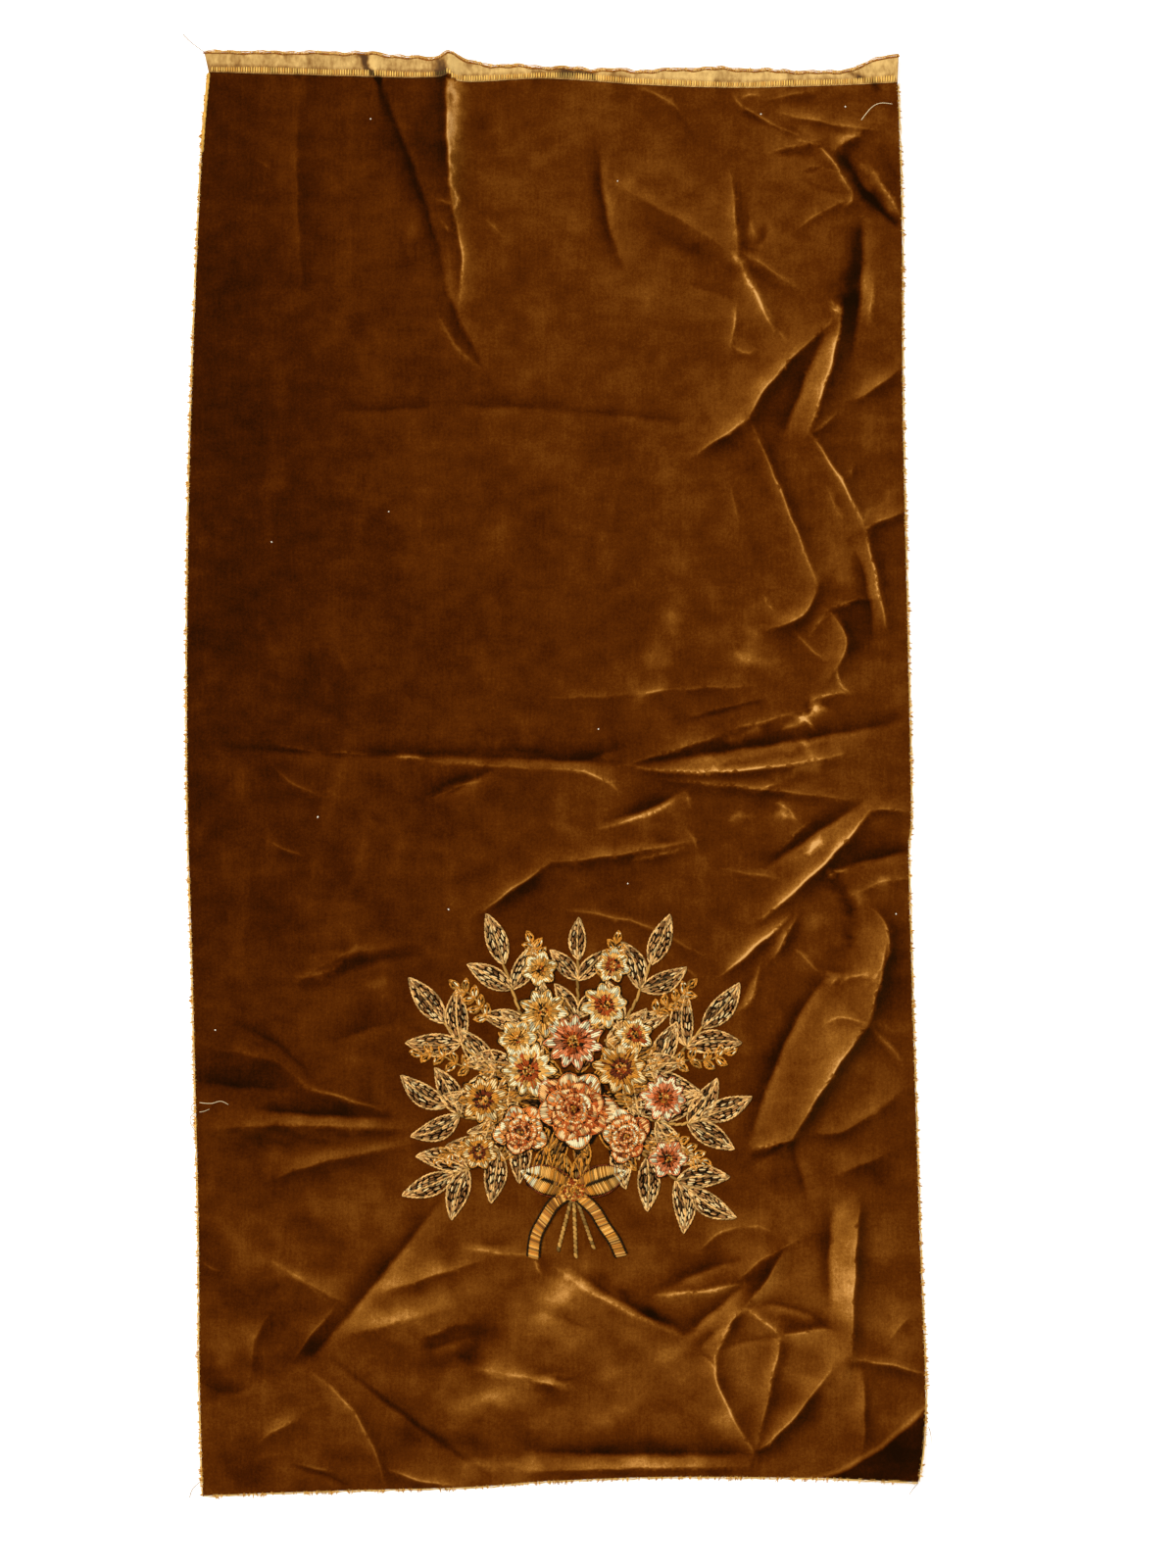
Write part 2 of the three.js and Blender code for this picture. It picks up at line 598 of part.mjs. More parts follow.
const PIECES = table(['name', 'geometry', 'material'], [
  ['velvet_panel', velvetPanel(), velvetPile],
  ['embroidered_bouquet', embroideredBouquet(), stitchedThread],
  ['fray_left', fray(leftEdge, -1, 0, 10), groundThread],
  ['fray_right', fray(rightEdge, 1, 0, 200), groundThread],
  ['fray_bottom', fray(bottomEdge, 0, -1, 400), groundThread],
]);

const velvetLength = new THREE.Group();
for (const { name, geometry, material } of PIECES) {
  geometry.computeVertexNormals();
  const piece = new THREE.Mesh(geometry, material);
  piece.name = name;
  velvetLength.add(piece);
}

export default velvetLength;
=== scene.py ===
import math

import bpy
import numpy as np
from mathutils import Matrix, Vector
from mathutils.geometry import delaunay_2d_cdt


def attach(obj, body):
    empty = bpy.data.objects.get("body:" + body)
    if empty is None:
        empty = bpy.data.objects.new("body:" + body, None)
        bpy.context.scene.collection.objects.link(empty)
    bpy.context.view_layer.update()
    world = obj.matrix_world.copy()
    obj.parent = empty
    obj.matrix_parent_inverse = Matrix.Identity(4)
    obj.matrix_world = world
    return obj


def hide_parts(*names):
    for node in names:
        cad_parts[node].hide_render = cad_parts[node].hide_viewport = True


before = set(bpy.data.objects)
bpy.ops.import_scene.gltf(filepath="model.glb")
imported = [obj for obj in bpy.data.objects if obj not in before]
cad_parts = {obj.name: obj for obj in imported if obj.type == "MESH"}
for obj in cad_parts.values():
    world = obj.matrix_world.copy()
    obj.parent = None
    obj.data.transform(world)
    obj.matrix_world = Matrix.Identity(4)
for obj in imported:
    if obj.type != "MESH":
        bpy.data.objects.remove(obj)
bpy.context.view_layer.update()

# The table the cloth is laid on, the soft daylight from its upper left, and the camera
# straight above. Sizes below are in millimetres on the cloth, and MM brings them to metres.
MM = 0.001
PHOTO_SIZE = (1200, 1600)
MM_PER_PIXEL = 0.87
ORIGIN_PIXEL = (567, 790)
CAMERA_HEIGHT = 4.0
TABLE_SIZE = 9.0
TABLE_GAP = 0.4
TABLE_WHITE = (0.9, 0.9, 0.895, 1)
TABLE_GLOW = 0.62
DAYLIGHT = (0.98, 0.99, 1.0, 1)
DAYLIGHT_STRENGTH = 0.62
LAMP_FROM = (-0.62, 0.55, 1.0)
LAMP_STRENGTH = 2.3
LAMP_SPREAD = math.radians(28)

bpy.ops.object.select_all(action="DESELECT")
bpy.ops.mesh.primitive_plane_add(size=TABLE_SIZE, location=(0, 0, -TABLE_GAP * MM))
table_top = bpy.context.object
table_top.name = "table_top"
table_paint = bpy.data.materials.new("table_white")
table_paint.use_nodes = True
table_finish = table_paint.node_tree.nodes["Principled BSDF"]
table_finish.inputs["Base Color"].default_value = TABLE_WHITE
table_finish.inputs["Roughness"].default_value = 0.9
table_finish.inputs["Emission Color"].default_value = TABLE_WHITE
table_finish.inputs["Emission Strength"].default_value = TABLE_GLOW
table_top.data.materials.append(table_paint)

world = bpy.data.worlds.new("daylight")
world.use_nodes = True
world.node_tree.nodes["Background"].inputs["Color"].default_value = DAYLIGHT
world.node_tree.nodes["Background"].inputs["Strength"].default_value = DAYLIGHT_STRENGTH
bpy.context.scene.world = world
bpy.context.scene.view_settings.view_transform = "Standard"

bpy.ops.object.light_add(type="SUN", location=LAMP_FROM)
lamp = bpy.context.object
lamp.data.energy = LAMP_STRENGTH
lamp.data.angle = LAMP_SPREAD
lamp.rotation_euler = (-Vector(LAMP_FROM)).to_track_quat("-Z", "Y").to_euler()

view_middle = [
    (PHOTO_SIZE[0] / 2 - ORIGIN_PIXEL[0]) * MM_PER_PIXEL * MM,
    (ORIGIN_PIXEL[1] - PHOTO_SIZE[1] / 2) * MM_PER_PIXEL * MM,
]
bpy.ops.object.camera_add(location=(*view_middle, CAMERA_HEIGHT))
camera = bpy.context.object
camera.data.sensor_fit = "VERTICAL"
camera.data.angle = 2 * math.atan(PHOTO_SIZE[1] * MM_PER_PIXEL * MM / 2 / CAMERA_HEIGHT)
bpy.context.scene.camera = camera

# The velvet: one cut length, brown cut pile on a tan ground weave. The short side at the top
# keeps its bare selvedge. It was stored folded, so creases cross it and its right side is crumpled.
PILE_THICKNESS = 2.2
SELVEDGE_THICKNESS = 1.0
PILE_STEP = 1.2
EDGE_SPACING = 5.0
SPLINE_STEPS = 60
LEFT_EDGE = [
    (-313, -640), (-316, -531), (-317, -392), (-322, -183), (-327, 10), (-325, 270), (-315, 531), (-308, 622),
]
RIGHT_EDGE = [
    (321, -626), (328, -560), (323, -409), (316, -183), (313, -70), (315, -9), (308, 313), (307, 478), (303, 612),
]
BOTTOM_EDGE = [(-313, -640), (-206, -636), (-73, -632), (-6, -627), (116, -623), (321, -626)]
SELVEDGE_EDGE = [
    (304, 637), (285, 634), (246, 623), (139, 626), (72, 624), (-6, 627), (-54, 629), (-82, 633), (-95, 641),
    (-110, 634), (-163, 639), (-224, 640), (-312, 641),
]
PILE_BORDER = [
    (-308, 622), (-180, 618), (-106, 616), (-96, 620), (-83, 613), (-6, 616), (72, 611), (168, 608), (303, 612),
]
# The selvedge's edge wavers between its ends: rise and length of each wave
SELVEDGE_WAVES = ((0.8, 7.1), (0.6, 2.9))


def smooth_line(points, spacing):
    """Points at an even spacing on a smooth curve through the given ones."""
    points = np.asarray(points, float)
    last = len(points) - 1
    share = np.linspace(0, 1, SPLINE_STEPS)[:, None]
    dense = []
    for i in range(last):
        a, b, c, d = points[max(i - 1, 0)], points[i], points[i + 1], points[min(i + 2, last)]
        bend = 2 * a - 5 * b + 4 * c - d
        twist = 3 * b - a - 3 * c + d
        dense.append(b + 0.5 * share * (c - a + share * (bend + share * twist)))
    dense = np.vstack(dense)
    reached = np.concatenate([[0], np.cumsum(np.hypot(*np.diff(dense, axis=0).T))])
    stops = np.linspace(0, reached[-1], round(reached[-1] / spacing) + 1)
    return np.column_stack([np.interp(stops, reached, dense[:, axis]) for axis in (0, 1)])


left_edge = smooth_line(LEFT_EDGE, EDGE_SPACING)
right_edge = smooth_line(RIGHT_EDGE, EDGE_SPACING)
bottom_edge = smooth_line(BOTTOM_EDGE, EDGE_SPACING)
selvedge_edge = smooth_line(SELVEDGE_EDGE, EDGE_SPACING)
ends_kept = np.sqrt(np.sin(np.linspace(0, np.pi, len(selvedge_edge))))
for rise, length in SELVEDGE_WAVES:
    selvedge_edge[:, 1] += ends_kept * rise * np.sin(selvedge_edge[:, 0] / length)
pile_border = smooth_line(PILE_BORDER, EDGE_SPACING)
step_foot = pile_border + (0, PILE_STEP)


def border_height(x):
    return np.interp(x, pile_border[:, 0], pile_border[:, 1])


# Broad swells: middle, reach to each side, and rise
SWELL_FALL = 2
BILLOWS = [
    (238, 200, 113, 300, 3.5), (203, -487, 174, 148, 3.5), (-145, -531, 165, 113, 3), (-232, -296, 110, 61, 3.5),
    (46, 0, 261, 52, 2.5), (238, -252, 70, 113, 3.5), (-110, 557, 104, 130, 2), (229, 531, 96, 96, 3),
]
# Folds and creases: start, passing point, end, rise (a valley below 0), flank widths left and right
# of the run, how bright a highlight is painted along the crest where the pile is crushed, and whether
# the painted shading of the flanks falls as with light from the upper left (1) or the other way round (-1)
FOLDS = [
    # selvedge pinch and the slanting tuck beside it
    ((-95, 650), (-96, 574), (-91, 500), 14, 9, 26, 0.3, -1),
    ((-91, 500), (-83, 461), (-86, 418), 4, 9, 14, 0.6, -1),
    ((-184, 672), (-128, 540), (-99, 440), -4, 14, 8, 0, 1),
    ((-99, 440), (-88, 405), (-59, 352), -4, 9, 9, 0, 1),
    ((-104, 408), (-90, 382), (-66, 360), 3, 8, 8, 0.35, 1),
    ((-228, 600), (-230, 522), (-225, 435), 1.0, 14, 14, 0.1, 1),
    ((-6, 323), (64, 318), (116, 311), -0.6, 7, 7, 0, 1),
    # crossing creases of the upper right
    ((39, 548), (44, 494), (57, 452), -2.6, 6, 8, 0, 1),
    ((44, 528), (107, 494), (159, 461), 4, 12, 10, 0.12, 1),
    ((155, 531), (159, 496), (161, 459), 2.5, 6, 6, 0.35, 1),
    ((161, 459), (177, 426), (194, 393), 4, 7, 7, 0.6, 1),
    ((165, 463), (190, 448), (216, 430), 2.5, 7, 7, 0.3, 1),
    ((158, 602), (177, 585), (232, 559), 4, 8, 9, 0.5, 1),
    ((197, 587), (238, 578), (285, 571), 3, 9, 9, 0.35, 1),
    ((232, 559), (248, 539), (264, 513), 6, 9, 9, 0.7, 1),
    ((249, 555), (259, 562), (270, 569), 3, 7, 7, 0.35, 1),
    ((255, 548), (276, 515), (306, 485), -5, 10, 12, 0, 1),
    ((278, 539), (294, 515), (304, 496), 5, 8, 8, 0.5, 1),
    # long zigzag down the right side
    ((271, 487), (270, 436), (262, 372), -6, 12, 12, 0, 1),
    ((253, 412), (244, 364), (224, 304), 9, 16, 10, 0.75, 1),
    ((236, 387), (216, 339), (203, 304), -4, 12, 12, 0, 1),
    ((243, 400), (194, 352), (171, 315), 7, 9, 14, 0.6, 1),
    ((171, 315), (151, 302), (126, 285), 4, 9, 9, 0.6, 1),
    ((175, 308), (204, 239), (232, 167), 5, 9, 12, 0.6, 1),
    ((232, 167), (218, 141), (191, 130), 4, 7, 8, 0.5, 1),
    ((224, 304), (251, 263), (273, 221), 6, 9, 12, 0.75, 1),
    ((273, 221), (284, 174), (293, 130), 5, 8, 12, 0.7, 1),
    ((265, 200), (276, 165), (281, 122), -4, 9, 9, 0, 1),
    ((274, 218), (290, 225), (310, 234), 3, 7, 7, 0.4, 1),
    ((262, 332), (284, 343), (307, 363), 3, 10, 10, 0.3, 1),
    ((241, 146), (257, 117), (244, 89), 5, 9, 9, 0.5, 1),
    ((243, 146), (260, 153), (279, 156), 2, 7, 7, 0.4, 1),
    # pressed fold across the middle, fanning out to the right
    ((-289, 23), (-197, 18), (-119, 15), -1.2, 7, 9, 0, 1),
    ((-119, 15), (-23, 14), (68, 8), -2.4, 8, 10, 0, 1),
    ((64, 9), (107, 22), (146, 35), 3, 8, 8, 0.5, 1),
    ((72, 10), (185, 26), (297, 45), -5, 10, 10, 0, 1),
    ((72, 6), (155, 3), (251, 17), 5, 7, 8, 0.75, 1),
    ((94, -5), (173, -12), (266, -23), 3, 6, 7, 0.4, 1),
    ((64, -37), (85, -30), (107, -17), -3, 7, 7, 0, 1),
    ((-111, -21), (-84, -11), (-63, 0), -2.5, 7, 7, 0, 1),
    ((-63, -120), (-37, -101), (-6, -79), 3.5, 7, 8, 0.7, 1),
    ((-4, -78), (55, -71), (120, -59), 3, 7, 8, 0.35, 1),
    ((184, -127), (239, -78), (278, -33), 6, 7, 10, 1.0, 1),
    ((190, -80), (226, -55), (268, -28), -5, 9, 9, 0, 1),
    ((278, -33), (294, -31), (313, -33), 4, 10, 10, 0.4, 1),
    ((149, -177), (177, -153), (204, -129), 5, 7, 8, 1.0, 1),
    ((194, -161), (203, -146), (213, -127), 4, 7, 7, 0.6, 1),
    ((248, -84), (281, -75), (314, -68), -4, 10, 10, 0, 1),
    # broad lit band beside the embroidery
    ((284, -122), (296, -150), (281, -183), 5, 8, 10, 0.6, 1),
    ((293, -150), (286, -187), (277, -221), 7, 8, 20, 0.6, 1),
    ((277, -221), (246, -264), (208, -325), 10, 8, 28, 0.6, 1),
    ((236, -184), (203, -238), (171, -327), -5, 10, 12, 0, 1),
    ((210, -324), (190, -329), (175, -332), 4, 7, 7, 0.5, 1),
    ((210, -324), (216, -352), (224, -378), -2, 8, 8, 0, 1),
    ((232, -318), (261, -313), (304, -283), 2.5, 14, 12, 0.12, 1),
    ((246, -356), (272, -346), (293, -336), 1.8, 16, 16, 0.1, 1),
    # crumples of the lower right
    ((269, -385), (265, -435), (262, -519), 8, 7, 20, 0.4, 1),
    ((246, -387), (242, -422), (243, -470), -4, 10, 10, 0, 1),
    ((263, -519), (294, -523), (328, -532), 4, 8, 8, 0.5, 1),
    ((271, -532), (274, -566), (272, -599), 4, 9, 7, 0.25, 1),
    ((13, -435), (54, -465), (117, -494), -5, 10, 10, 0, 1),
    ((-1, -437), (45, -467), (113, -499), 4, 8, 8, 0.35, 1),
    ((91, -461), (129, -458), (168, -451), 4, 8, 8, 0.5, -1),
    ((98, -452), (129, -440), (164, -431), -1.6, 8, 8, 0, 1),
    ((168, -473), (190, -444), (204, -419), 4, 8, 8, 0.3, -1),
    ((168, -473), (184, -484), (199, -499), 4, 7, 7, 0.5, 1),
    ((168, -473), (155, -487), (147, -505), 4, 7, 7, 0.5, 1),
    ((116, -498), (137, -478), (168, -452), -3, 8, 8, 0, 1),
    ((172, -472), (211, -473), (244, -494), -4, 8, 8, 0, 1),
    ((199, -499), (220, -494), (244, -493), 3, 7, 7, 0.4, -1),
    ((147, -505), (144, -541), (177, -603), 4, 8, 8, 0.6, 1),
    ((199, -499), (194, -526), (177, -600), 3, 7, 7, 0.4, 1),
    ((177, -600), (203, -579), (244, -528), 4, 8, 9, 0.6, 1),
    ((-17, -601), (67, -603), (177, -603), -5, 12, 12, 0, 1),
    ((-23, -618), (72, -615), (168, -614), 5, 8, 8, 0.2, 1),
    # creases of the lower left
    ((-215, -532), (-176, -570), (-152, -628), 5, 7, 9, 0.45, 1),
    ((-196, -521), (-135, -567), (-61, -621), -5, 10, 10, 0, 1),
    ((-214, -514), (-156, -446), (-104, -380), -3.4, 12, 12, 0, 1),
    ((-253, -432), (-219, -452), (-181, -470), 4, 12, 12, 0.2, 1),
    ((-271, -534), (-266, -500), (-254, -479), 0.7, 8, 8, 0.2, 1),
    ((-316, -537), (-292, -549), (-270, -542), -0.6, 9, 9, 0, 1),
    ((-232, -614), (-206, -622), (-182, -632), -3, 7, 7, 0, 1),
    ((-148, -616), (-119, -626), (-81, -632), 4, 7, 7, 0.5, 1),
    ((-152, -458), (-110, -445), (-69, -432), 3, 14, 14, 0.2, 1),
    ((-186, -496), (-145, -487), (-102, -475), 2.2, 12, 12, 0.1, 1),
    ((-72, -528), (-35, -533), (8, -545), 3, 12, 12, 0.25, 1),
    # pressed fold left of the embroidery
    ((-300, -245), (-251, -254), (-221, -278), 2, 12, 12, 0.15, 1),
    ((-221, -278), (-188, -287), (-156, -297), 4, 8, 8, 0.5, 1),
    ((-318, -273), (-276, -277), (-239, -280), -1.5, 12, 12, 0, 1),
    ((-265, -297), (-206, -302), (-151, -304), -4.5, 10, 10, 0, 1),
    ((-298, -314), (-235, -311), (-137, -315), 5, 12, 9, 0.12, 1),
    ((-246, -357), (-211, -345), (-137, -329), 3, 12, 14, 0.2, 1),
    ((-223, -180), (-188, -161), (-146, -154), 0.5, 9, 9, 0.1, 1),
    ((-191, -176), (-160, -167), (-126, -160), -0.3, 10, 10, 0, 1),
    ((-284, -221), (-241, -244), (-216, -273), -1.8, 9, 9, 0, 1),
    # ripples of the selvedge
    ((-161, 650), (-160, 628), (-156, 590), 5, 12, 9, 0.1, 1),
    ((-223, 650), (-223, 634), (-223, 616), 3, 12, 12, 0.05, 1),
    ((-23, 640), (-23, 626), (-22, 612), 2.5, 12, 12, 0.05, 1),
    ((48, 640), (48, 624), (50, 606), 2.5, 12, 12, 0.1, 1),
    ((139, 640), (139, 624), (141, 606), 2.5, 10, 12, 0.1, 1),
    ((203, 640), (203, 624), (204, 606), 2, 10, 12, 0.05, 1),
]
# Fine creases of the pile: start, passing point, end, and a tone that paints a highlight on small ridges
# and shade in small furrows
CREASES = [
    # top left
    ((-95, 606), (-95, 565), (-92, 521), 0.5), ((-92, 521), (-87, 510), (-91, 499), 0.6),
    ((-106, 510), (-96, 506), (-88, 501), 0.4), ((-101, 490), (-95, 484), (-90, 481), 0.4),
    ((-64, 493), (-56, 486), (-48, 479), 0.25), ((-266, 546), (-259, 541), (-252, 537), 0.2),
    ((-195, 322), (-137, 324), (-110, 327), -0.35), ((-86, 327), (-48, 326), (-6, 325), -0.4),
    # top right
    ((75, 608), (95, 601), (112, 586), 0.4), ((190, 552), (212, 557), (235, 563), 0.35),
    ((160, 415), (158, 399), (155, 379), 0.5), ((217, 486), (229, 494), (237, 499), 0.35),
    ((189, 599), (211, 603), (231, 607), 0.3), ((165, 600), (173, 602), (181, 602), 0.4),
    ((215, 562), (223, 560), (231, 557), 0.45), ((191, 552), (207, 550), (223, 548), -0.6),
    ((219, 533), (235, 536), (251, 534), -0.5), ((263, 515), (261, 507), (257, 505), 0.5),
    ((281, 439), (280, 415), (277, 399), 0.35), ((243, 415), (249, 411), (254, 409), 0.6),
    ((171, 480), (172, 472), (171, 466), -0.2), ((112, 588), (119, 572), (126, 557), -0.25),
    ((173, 492), (175, 484), (178, 478), 0.25), ((96, 440), (140, 428), (160, 420), -0.15),
    ((170, 585), (195, 573), (225, 562), -0.5), ((205, 583), (238, 575), (268, 570), -0.4),
    ((39, 552), (41, 512), (58, 456), -0.7), ((170, 506), (171, 489), (168, 470), -0.25),
    ((187, 487), (185, 477), (176, 466), -0.25), ((168, 453), (185, 438), (206, 428), -0.5),
    ((157, 381), (168, 373), (176, 377), 0.35), ((194, 393), (199, 390), (204, 385), 0.3),
    ((237, 499), (247, 505), (257, 508), 0.3), ((221, 536), (231, 539), (248, 534), 0.35),
    ((218, 531), (231, 519), (257, 515), -0.45),
    # right side
    ((155, 40), (180, 46), (223, 57), 0.4), ((99, 75), (134, 77), (176, 78), 0.25),
    ((225, 303), (238, 309), (248, 320), 0.4), ((249, 95), (251, 83), (261, 72), 0.6),
    ((261, 72), (241, 71), (226, 64), 0.6), ((213, 125), (228, 110), (241, 102), 0.4),
    ((226, 123), (233, 133), (241, 144), 0.3), ((183, 160), (190, 149), (196, 145), 0.35),
    ((156, 255), (158, 239), (162, 226), 0.25), ((211, 52), (222, 47), (229, 40), 0.7),
    ((224, 70), (226, 60), (226, 50), -0.7), ((230, 60), (236, 61), (243, 58), -0.7),
    ((250, 155), (264, 153), (282, 151), -0.5), ((240, 255), (246, 242), (254, 226), 0.25),
    ((258, 262), (262, 268), (263, 275), 0.35),
    # pressed fold across the middle
    ((-6, 68), (36, 69), (74, 72), 0.2), ((74, 72), (87, 73), (99, 75), 0.5),
    ((118, 51), (150, 60), (184, 68), 0.25), ((118, 47), (150, 56), (184, 64), -0.3),
    ((-6, 12), (28, 14), (60, 24), -0.9), ((-6, 5), (32, 0), (55, -15), 0.55),
    ((-168, 20), (-126, 18), (-73, 18), -0.6), ((-63, 20), (-30, 20), (-6, 17), -0.6),
    ((-200, 19), (-184, 19), (-168, 18), 0.45), ((-141, 16), (-130, 15), (-117, 14), 0.7),
    ((-117, 12), (-63, 8), (-6, 5), 0.3), ((-248, 28), (-231, 23), (-202, 19), 0.25),
    ((-250, 6), (-231, -9), (-208, -19), 0.3), ((177, -16), (186, -12), (194, -9), 0.6),
    ((40, -48), (78, -37), (104, -24), 0.5), ((47, -42), (78, -32), (106, -19), -0.9),
    ((114, -16), (117, -22), (118, -26), 0.5), ((190, -24), (205, -29), (211, -37), 0.4),
    ((70, -76), (95, -71), (114, -65), 0.45), ((85, -63), (98, -61), (112, -59), -0.6),
    ((118, -52), (123, -60), (125, -67), 0.4), ((150, -84), (173, -88), (196, -92), 0.3),
    ((198, -67), (212, -54), (224, -43), 0.45), ((209, -152), (222, -164), (236, -178), 0.35),
    ((258, -109), (289, -96), (314, -92), 0.3), ((253, -185), (266, -178), (283, -181), 0.4),
    ((239, -174), (249, -176), (260, -176), -0.5), ((239, -221), (255, -216), (276, -221), 0.4),
    ((163, -206), (169, -193), (180, -172), -0.5), ((97, -142), (112, -151), (131, -160), 0.3),
    ((111, -170), (118, -175), (125, -180), 0.35), ((14, -121), (57, -128), (97, -141), 0.5),
    ((279, -224), (295, -240), (308, -258), 0.4), ((277, -230), (291, -245), (304, -262), -0.35),
    ((182, -164), (173, -198), (160, -210), 0.4), ((244, -187), (247, -183), (252, -179), 0.35),
    # left of the embroidery
    ((-109, -21), (-86, -11), (-69, -7), 0.4), ((-109, -17), (-87, -7), (-63, 1), -0.7),
    ((-252, -61), (-238, -67), (-225, -72), 0.35), ((-56, -133), (-50, -150), (-51, -163), 0.35),
    ((-227, -180), (-202, -175), (-189, -163), 0.3), ((-198, -238), (-172, -228), (-147, -222), -0.3),
    ((-220, -272), (-188, -285), (-153, -294), -0.5), ((-78, -421), (-57, -424), (-17, -427), 0.35),
    ((-20, -427), (-17, -436), (-13, -443), 0.5), ((-84, -415), (-60, -417), (-40, -418), -0.4),
    # bottom left
    ((-230, -515), (-212, -491), (-198, -475), 0.4), ((-262, -592), (-246, -580), (-230, -573), 0.35),
    ((-254, -432), (-230, -445), (-204, -467), 0.2), ((-228, -612), (-212, -615), (-200, -618), 0.4),
    ((-196, -517), (-129, -573), (-68, -618), -0.6), ((-286, -455), (-275, -462), (-266, -470), -0.3),
    ((-122, -509), (-99, -506), (-57, -493), -0.35), ((-94, -514), (-83, -517), (-71, -523), -0.3),
    ((-316, -430), (-305, -438), (-296, -441), 0.25), ((-120, -500), (-100, -492), (-80, -487), 0.25),
    # bottom right
    ((129, -421), (145, -408), (165, -401), 0.4), ((165, -401), (178, -402), (190, -405), 0.35),
    ((163, -448), (181, -432), (215, -412), 0.35), ((156, -487), (136, -499), (127, -510), -0.6),
    ((147, -510), (170, -503), (195, -500), -0.45), ((131, -517), (140, -526), (143, -532), 0.4),
    ((-10, -478), (11, -485), (36, -494), -0.35), ((-23, -533), (-5, -531), (13, -533), -0.4),
    ((-23, -537), (-8, -540), (2, -544), 0.45), ((129, -514), (135, -518), (139, -524), -0.6),
    ((297, -500), (306, -488), (314, -482), 0.25), ((276, -545), (277, -565), (276, -590), -0.4),
    ((90, -462), (124, -459), (168, -452), 0.5), ((92, -458), (113, -449), (145, -436), -0.6),
]
CREASE_RISE = 1.6
CREASE_FLANK = 4
FOLDS += [
    (start, via, end, CREASE_RISE * tone, CREASE_FLANK, CREASE_FLANK, max(0, tone), 1)
    for start, via, end, tone in CREASES
]
FOLD_SEGMENTS = 12
# How far a fold's run wavers to each side, and over what length
WANDER = 0.8
WANDER_LENGTH = 37
# A fold is felt out to this many of its flank widths, and keeps this share of its rise at its ends
FOLD_REACH = 8
FOLD_END_SHARE = 0.55
CREST_ROUNDING = 0.35
VALLEY_SWELL = 3
FOLD_BLEND = 3
SETTLING = 0.5
# Corners that curl up: a point of the bend, the direction to the corner, lift and reach
CURLS = [(281, -596, 0.49, -0.87, 13, 48), (240, 640, 0.95, 0.31, 7, 75)]
# The flat bed that the embroidery keeps in the cloth, a rectangle with round corners
SPRAY_MIDDLE = np.array([16.0, -281.0])
BED_REACH = np.array([162.0, 158.0])
BED_POWER = 4
BED_FADE = 0.16


def fold_path(start, via, end):
    start, via, end = np.array([start, via, end], float)
    share = np.linspace(0, 1, FOLD_SEGMENTS + 1)[:, None]
    control = 2 * via - (start + end) / 2
    path = (1 - share) ** 2 * start + 2 * share * (1 - share) * control + share ** 2 * end
    run = end - start
    length = np.hypot(*run)
    waves = 2 * np.pi * share * length / WANDER_LENGTH + start[0] + end[1]
    wander = WANDER * np.sin(np.pi * share) * np.sin(waves)
    return path + wander * np.array([-run[1], run[0]]) / length


def nearest_on_fold(path, points):
    """Each point's distance from a fold's run, its side (1 is left) and how far along it lies."""
    run = np.diff(path, axis=0)
    away = points[:, None, :] - path[None, :-1]
    share = np.clip((away * run).sum(-1) / (run ** 2).sum(-1), 0, 1)
    away = away - share[..., None] * run
    distance = np.hypot(away[..., 0], away[..., 1])
    rows, best = np.arange(len(points)), distance.argmin(1)
    nearest = away[rows, best]
    side = np.sign(run[best, 0] * nearest[:, 1] - run[best, 1] * nearest[:, 0])
    return distance[rows, best], side, (best + share[rows, best]) / len(run)


def around(path, reach, points):
    """Which plan points lie in the box round a fold's run, out to a reach."""
    return np.all((points > path.min(0) - reach) & (points < path.max(0) + reach), axis=1)


def smoothstep(value):
    value = np.clip(value, 0, 1)
    return value * value * (3 - 2 * value)


def lay(points):
    """Height of the cloth's underside over the table at plan points."""
    swell = np.zeros(len(points))
    for x, y, reach_x, reach_y, rise in BILLOWS:
        away = ((points[:, 0] - x) / reach_x) ** 2 + ((points[:, 1] - y) / reach_y) ** 2
        swell += rise * np.exp(-SWELL_FALL * away)
    raised, sunk = np.zeros(len(points)), np.zeros(len(points))
    for start, via, end, rise, left, right, _, _ in FOLDS:
        path = fold_path(start, via, end)
        near = around(path, FOLD_REACH * max(left, right), points)
        if not near.any():
            continue
        distance, side, along = nearest_on_fold(path, points[near])
        reach = distance / np.where(side > 0, left, right)
        size = abs(rise) * (FOLD_END_SHARE + (1 - FOLD_END_SHARE) * np.sin(np.pi * along))
        crest = size * np.exp(CREST_ROUNDING - np.hypot(reach, CREST_ROUNDING))
        shoulder = size * np.exp(-((reach / VALLEY_SWELL) ** 2))
        raised[near] += (crest if rise > 0 else shoulder) ** FOLD_BLEND
        if rise < 0:
            sunk[near] += crest ** FOLD_BLEND
    lift = swell + np.cbrt(raised) - np.cbrt(sunk)
    for x, y, towards_x, towards_y, rise, reach in CURLS:
        past = (points[:, 0] - x) * towards_x + (points[:, 1] - y) * towards_y
        lift += rise * smoothstep(past / reach)
    from_bed = (((points - SPRAY_MIDDLE) / BED_REACH) ** BED_POWER).sum(1) ** (1 / BED_POWER)
    return np.maximum(0, lift * smoothstep((from_bed - 1) / BED_FADE) - SETTLING)
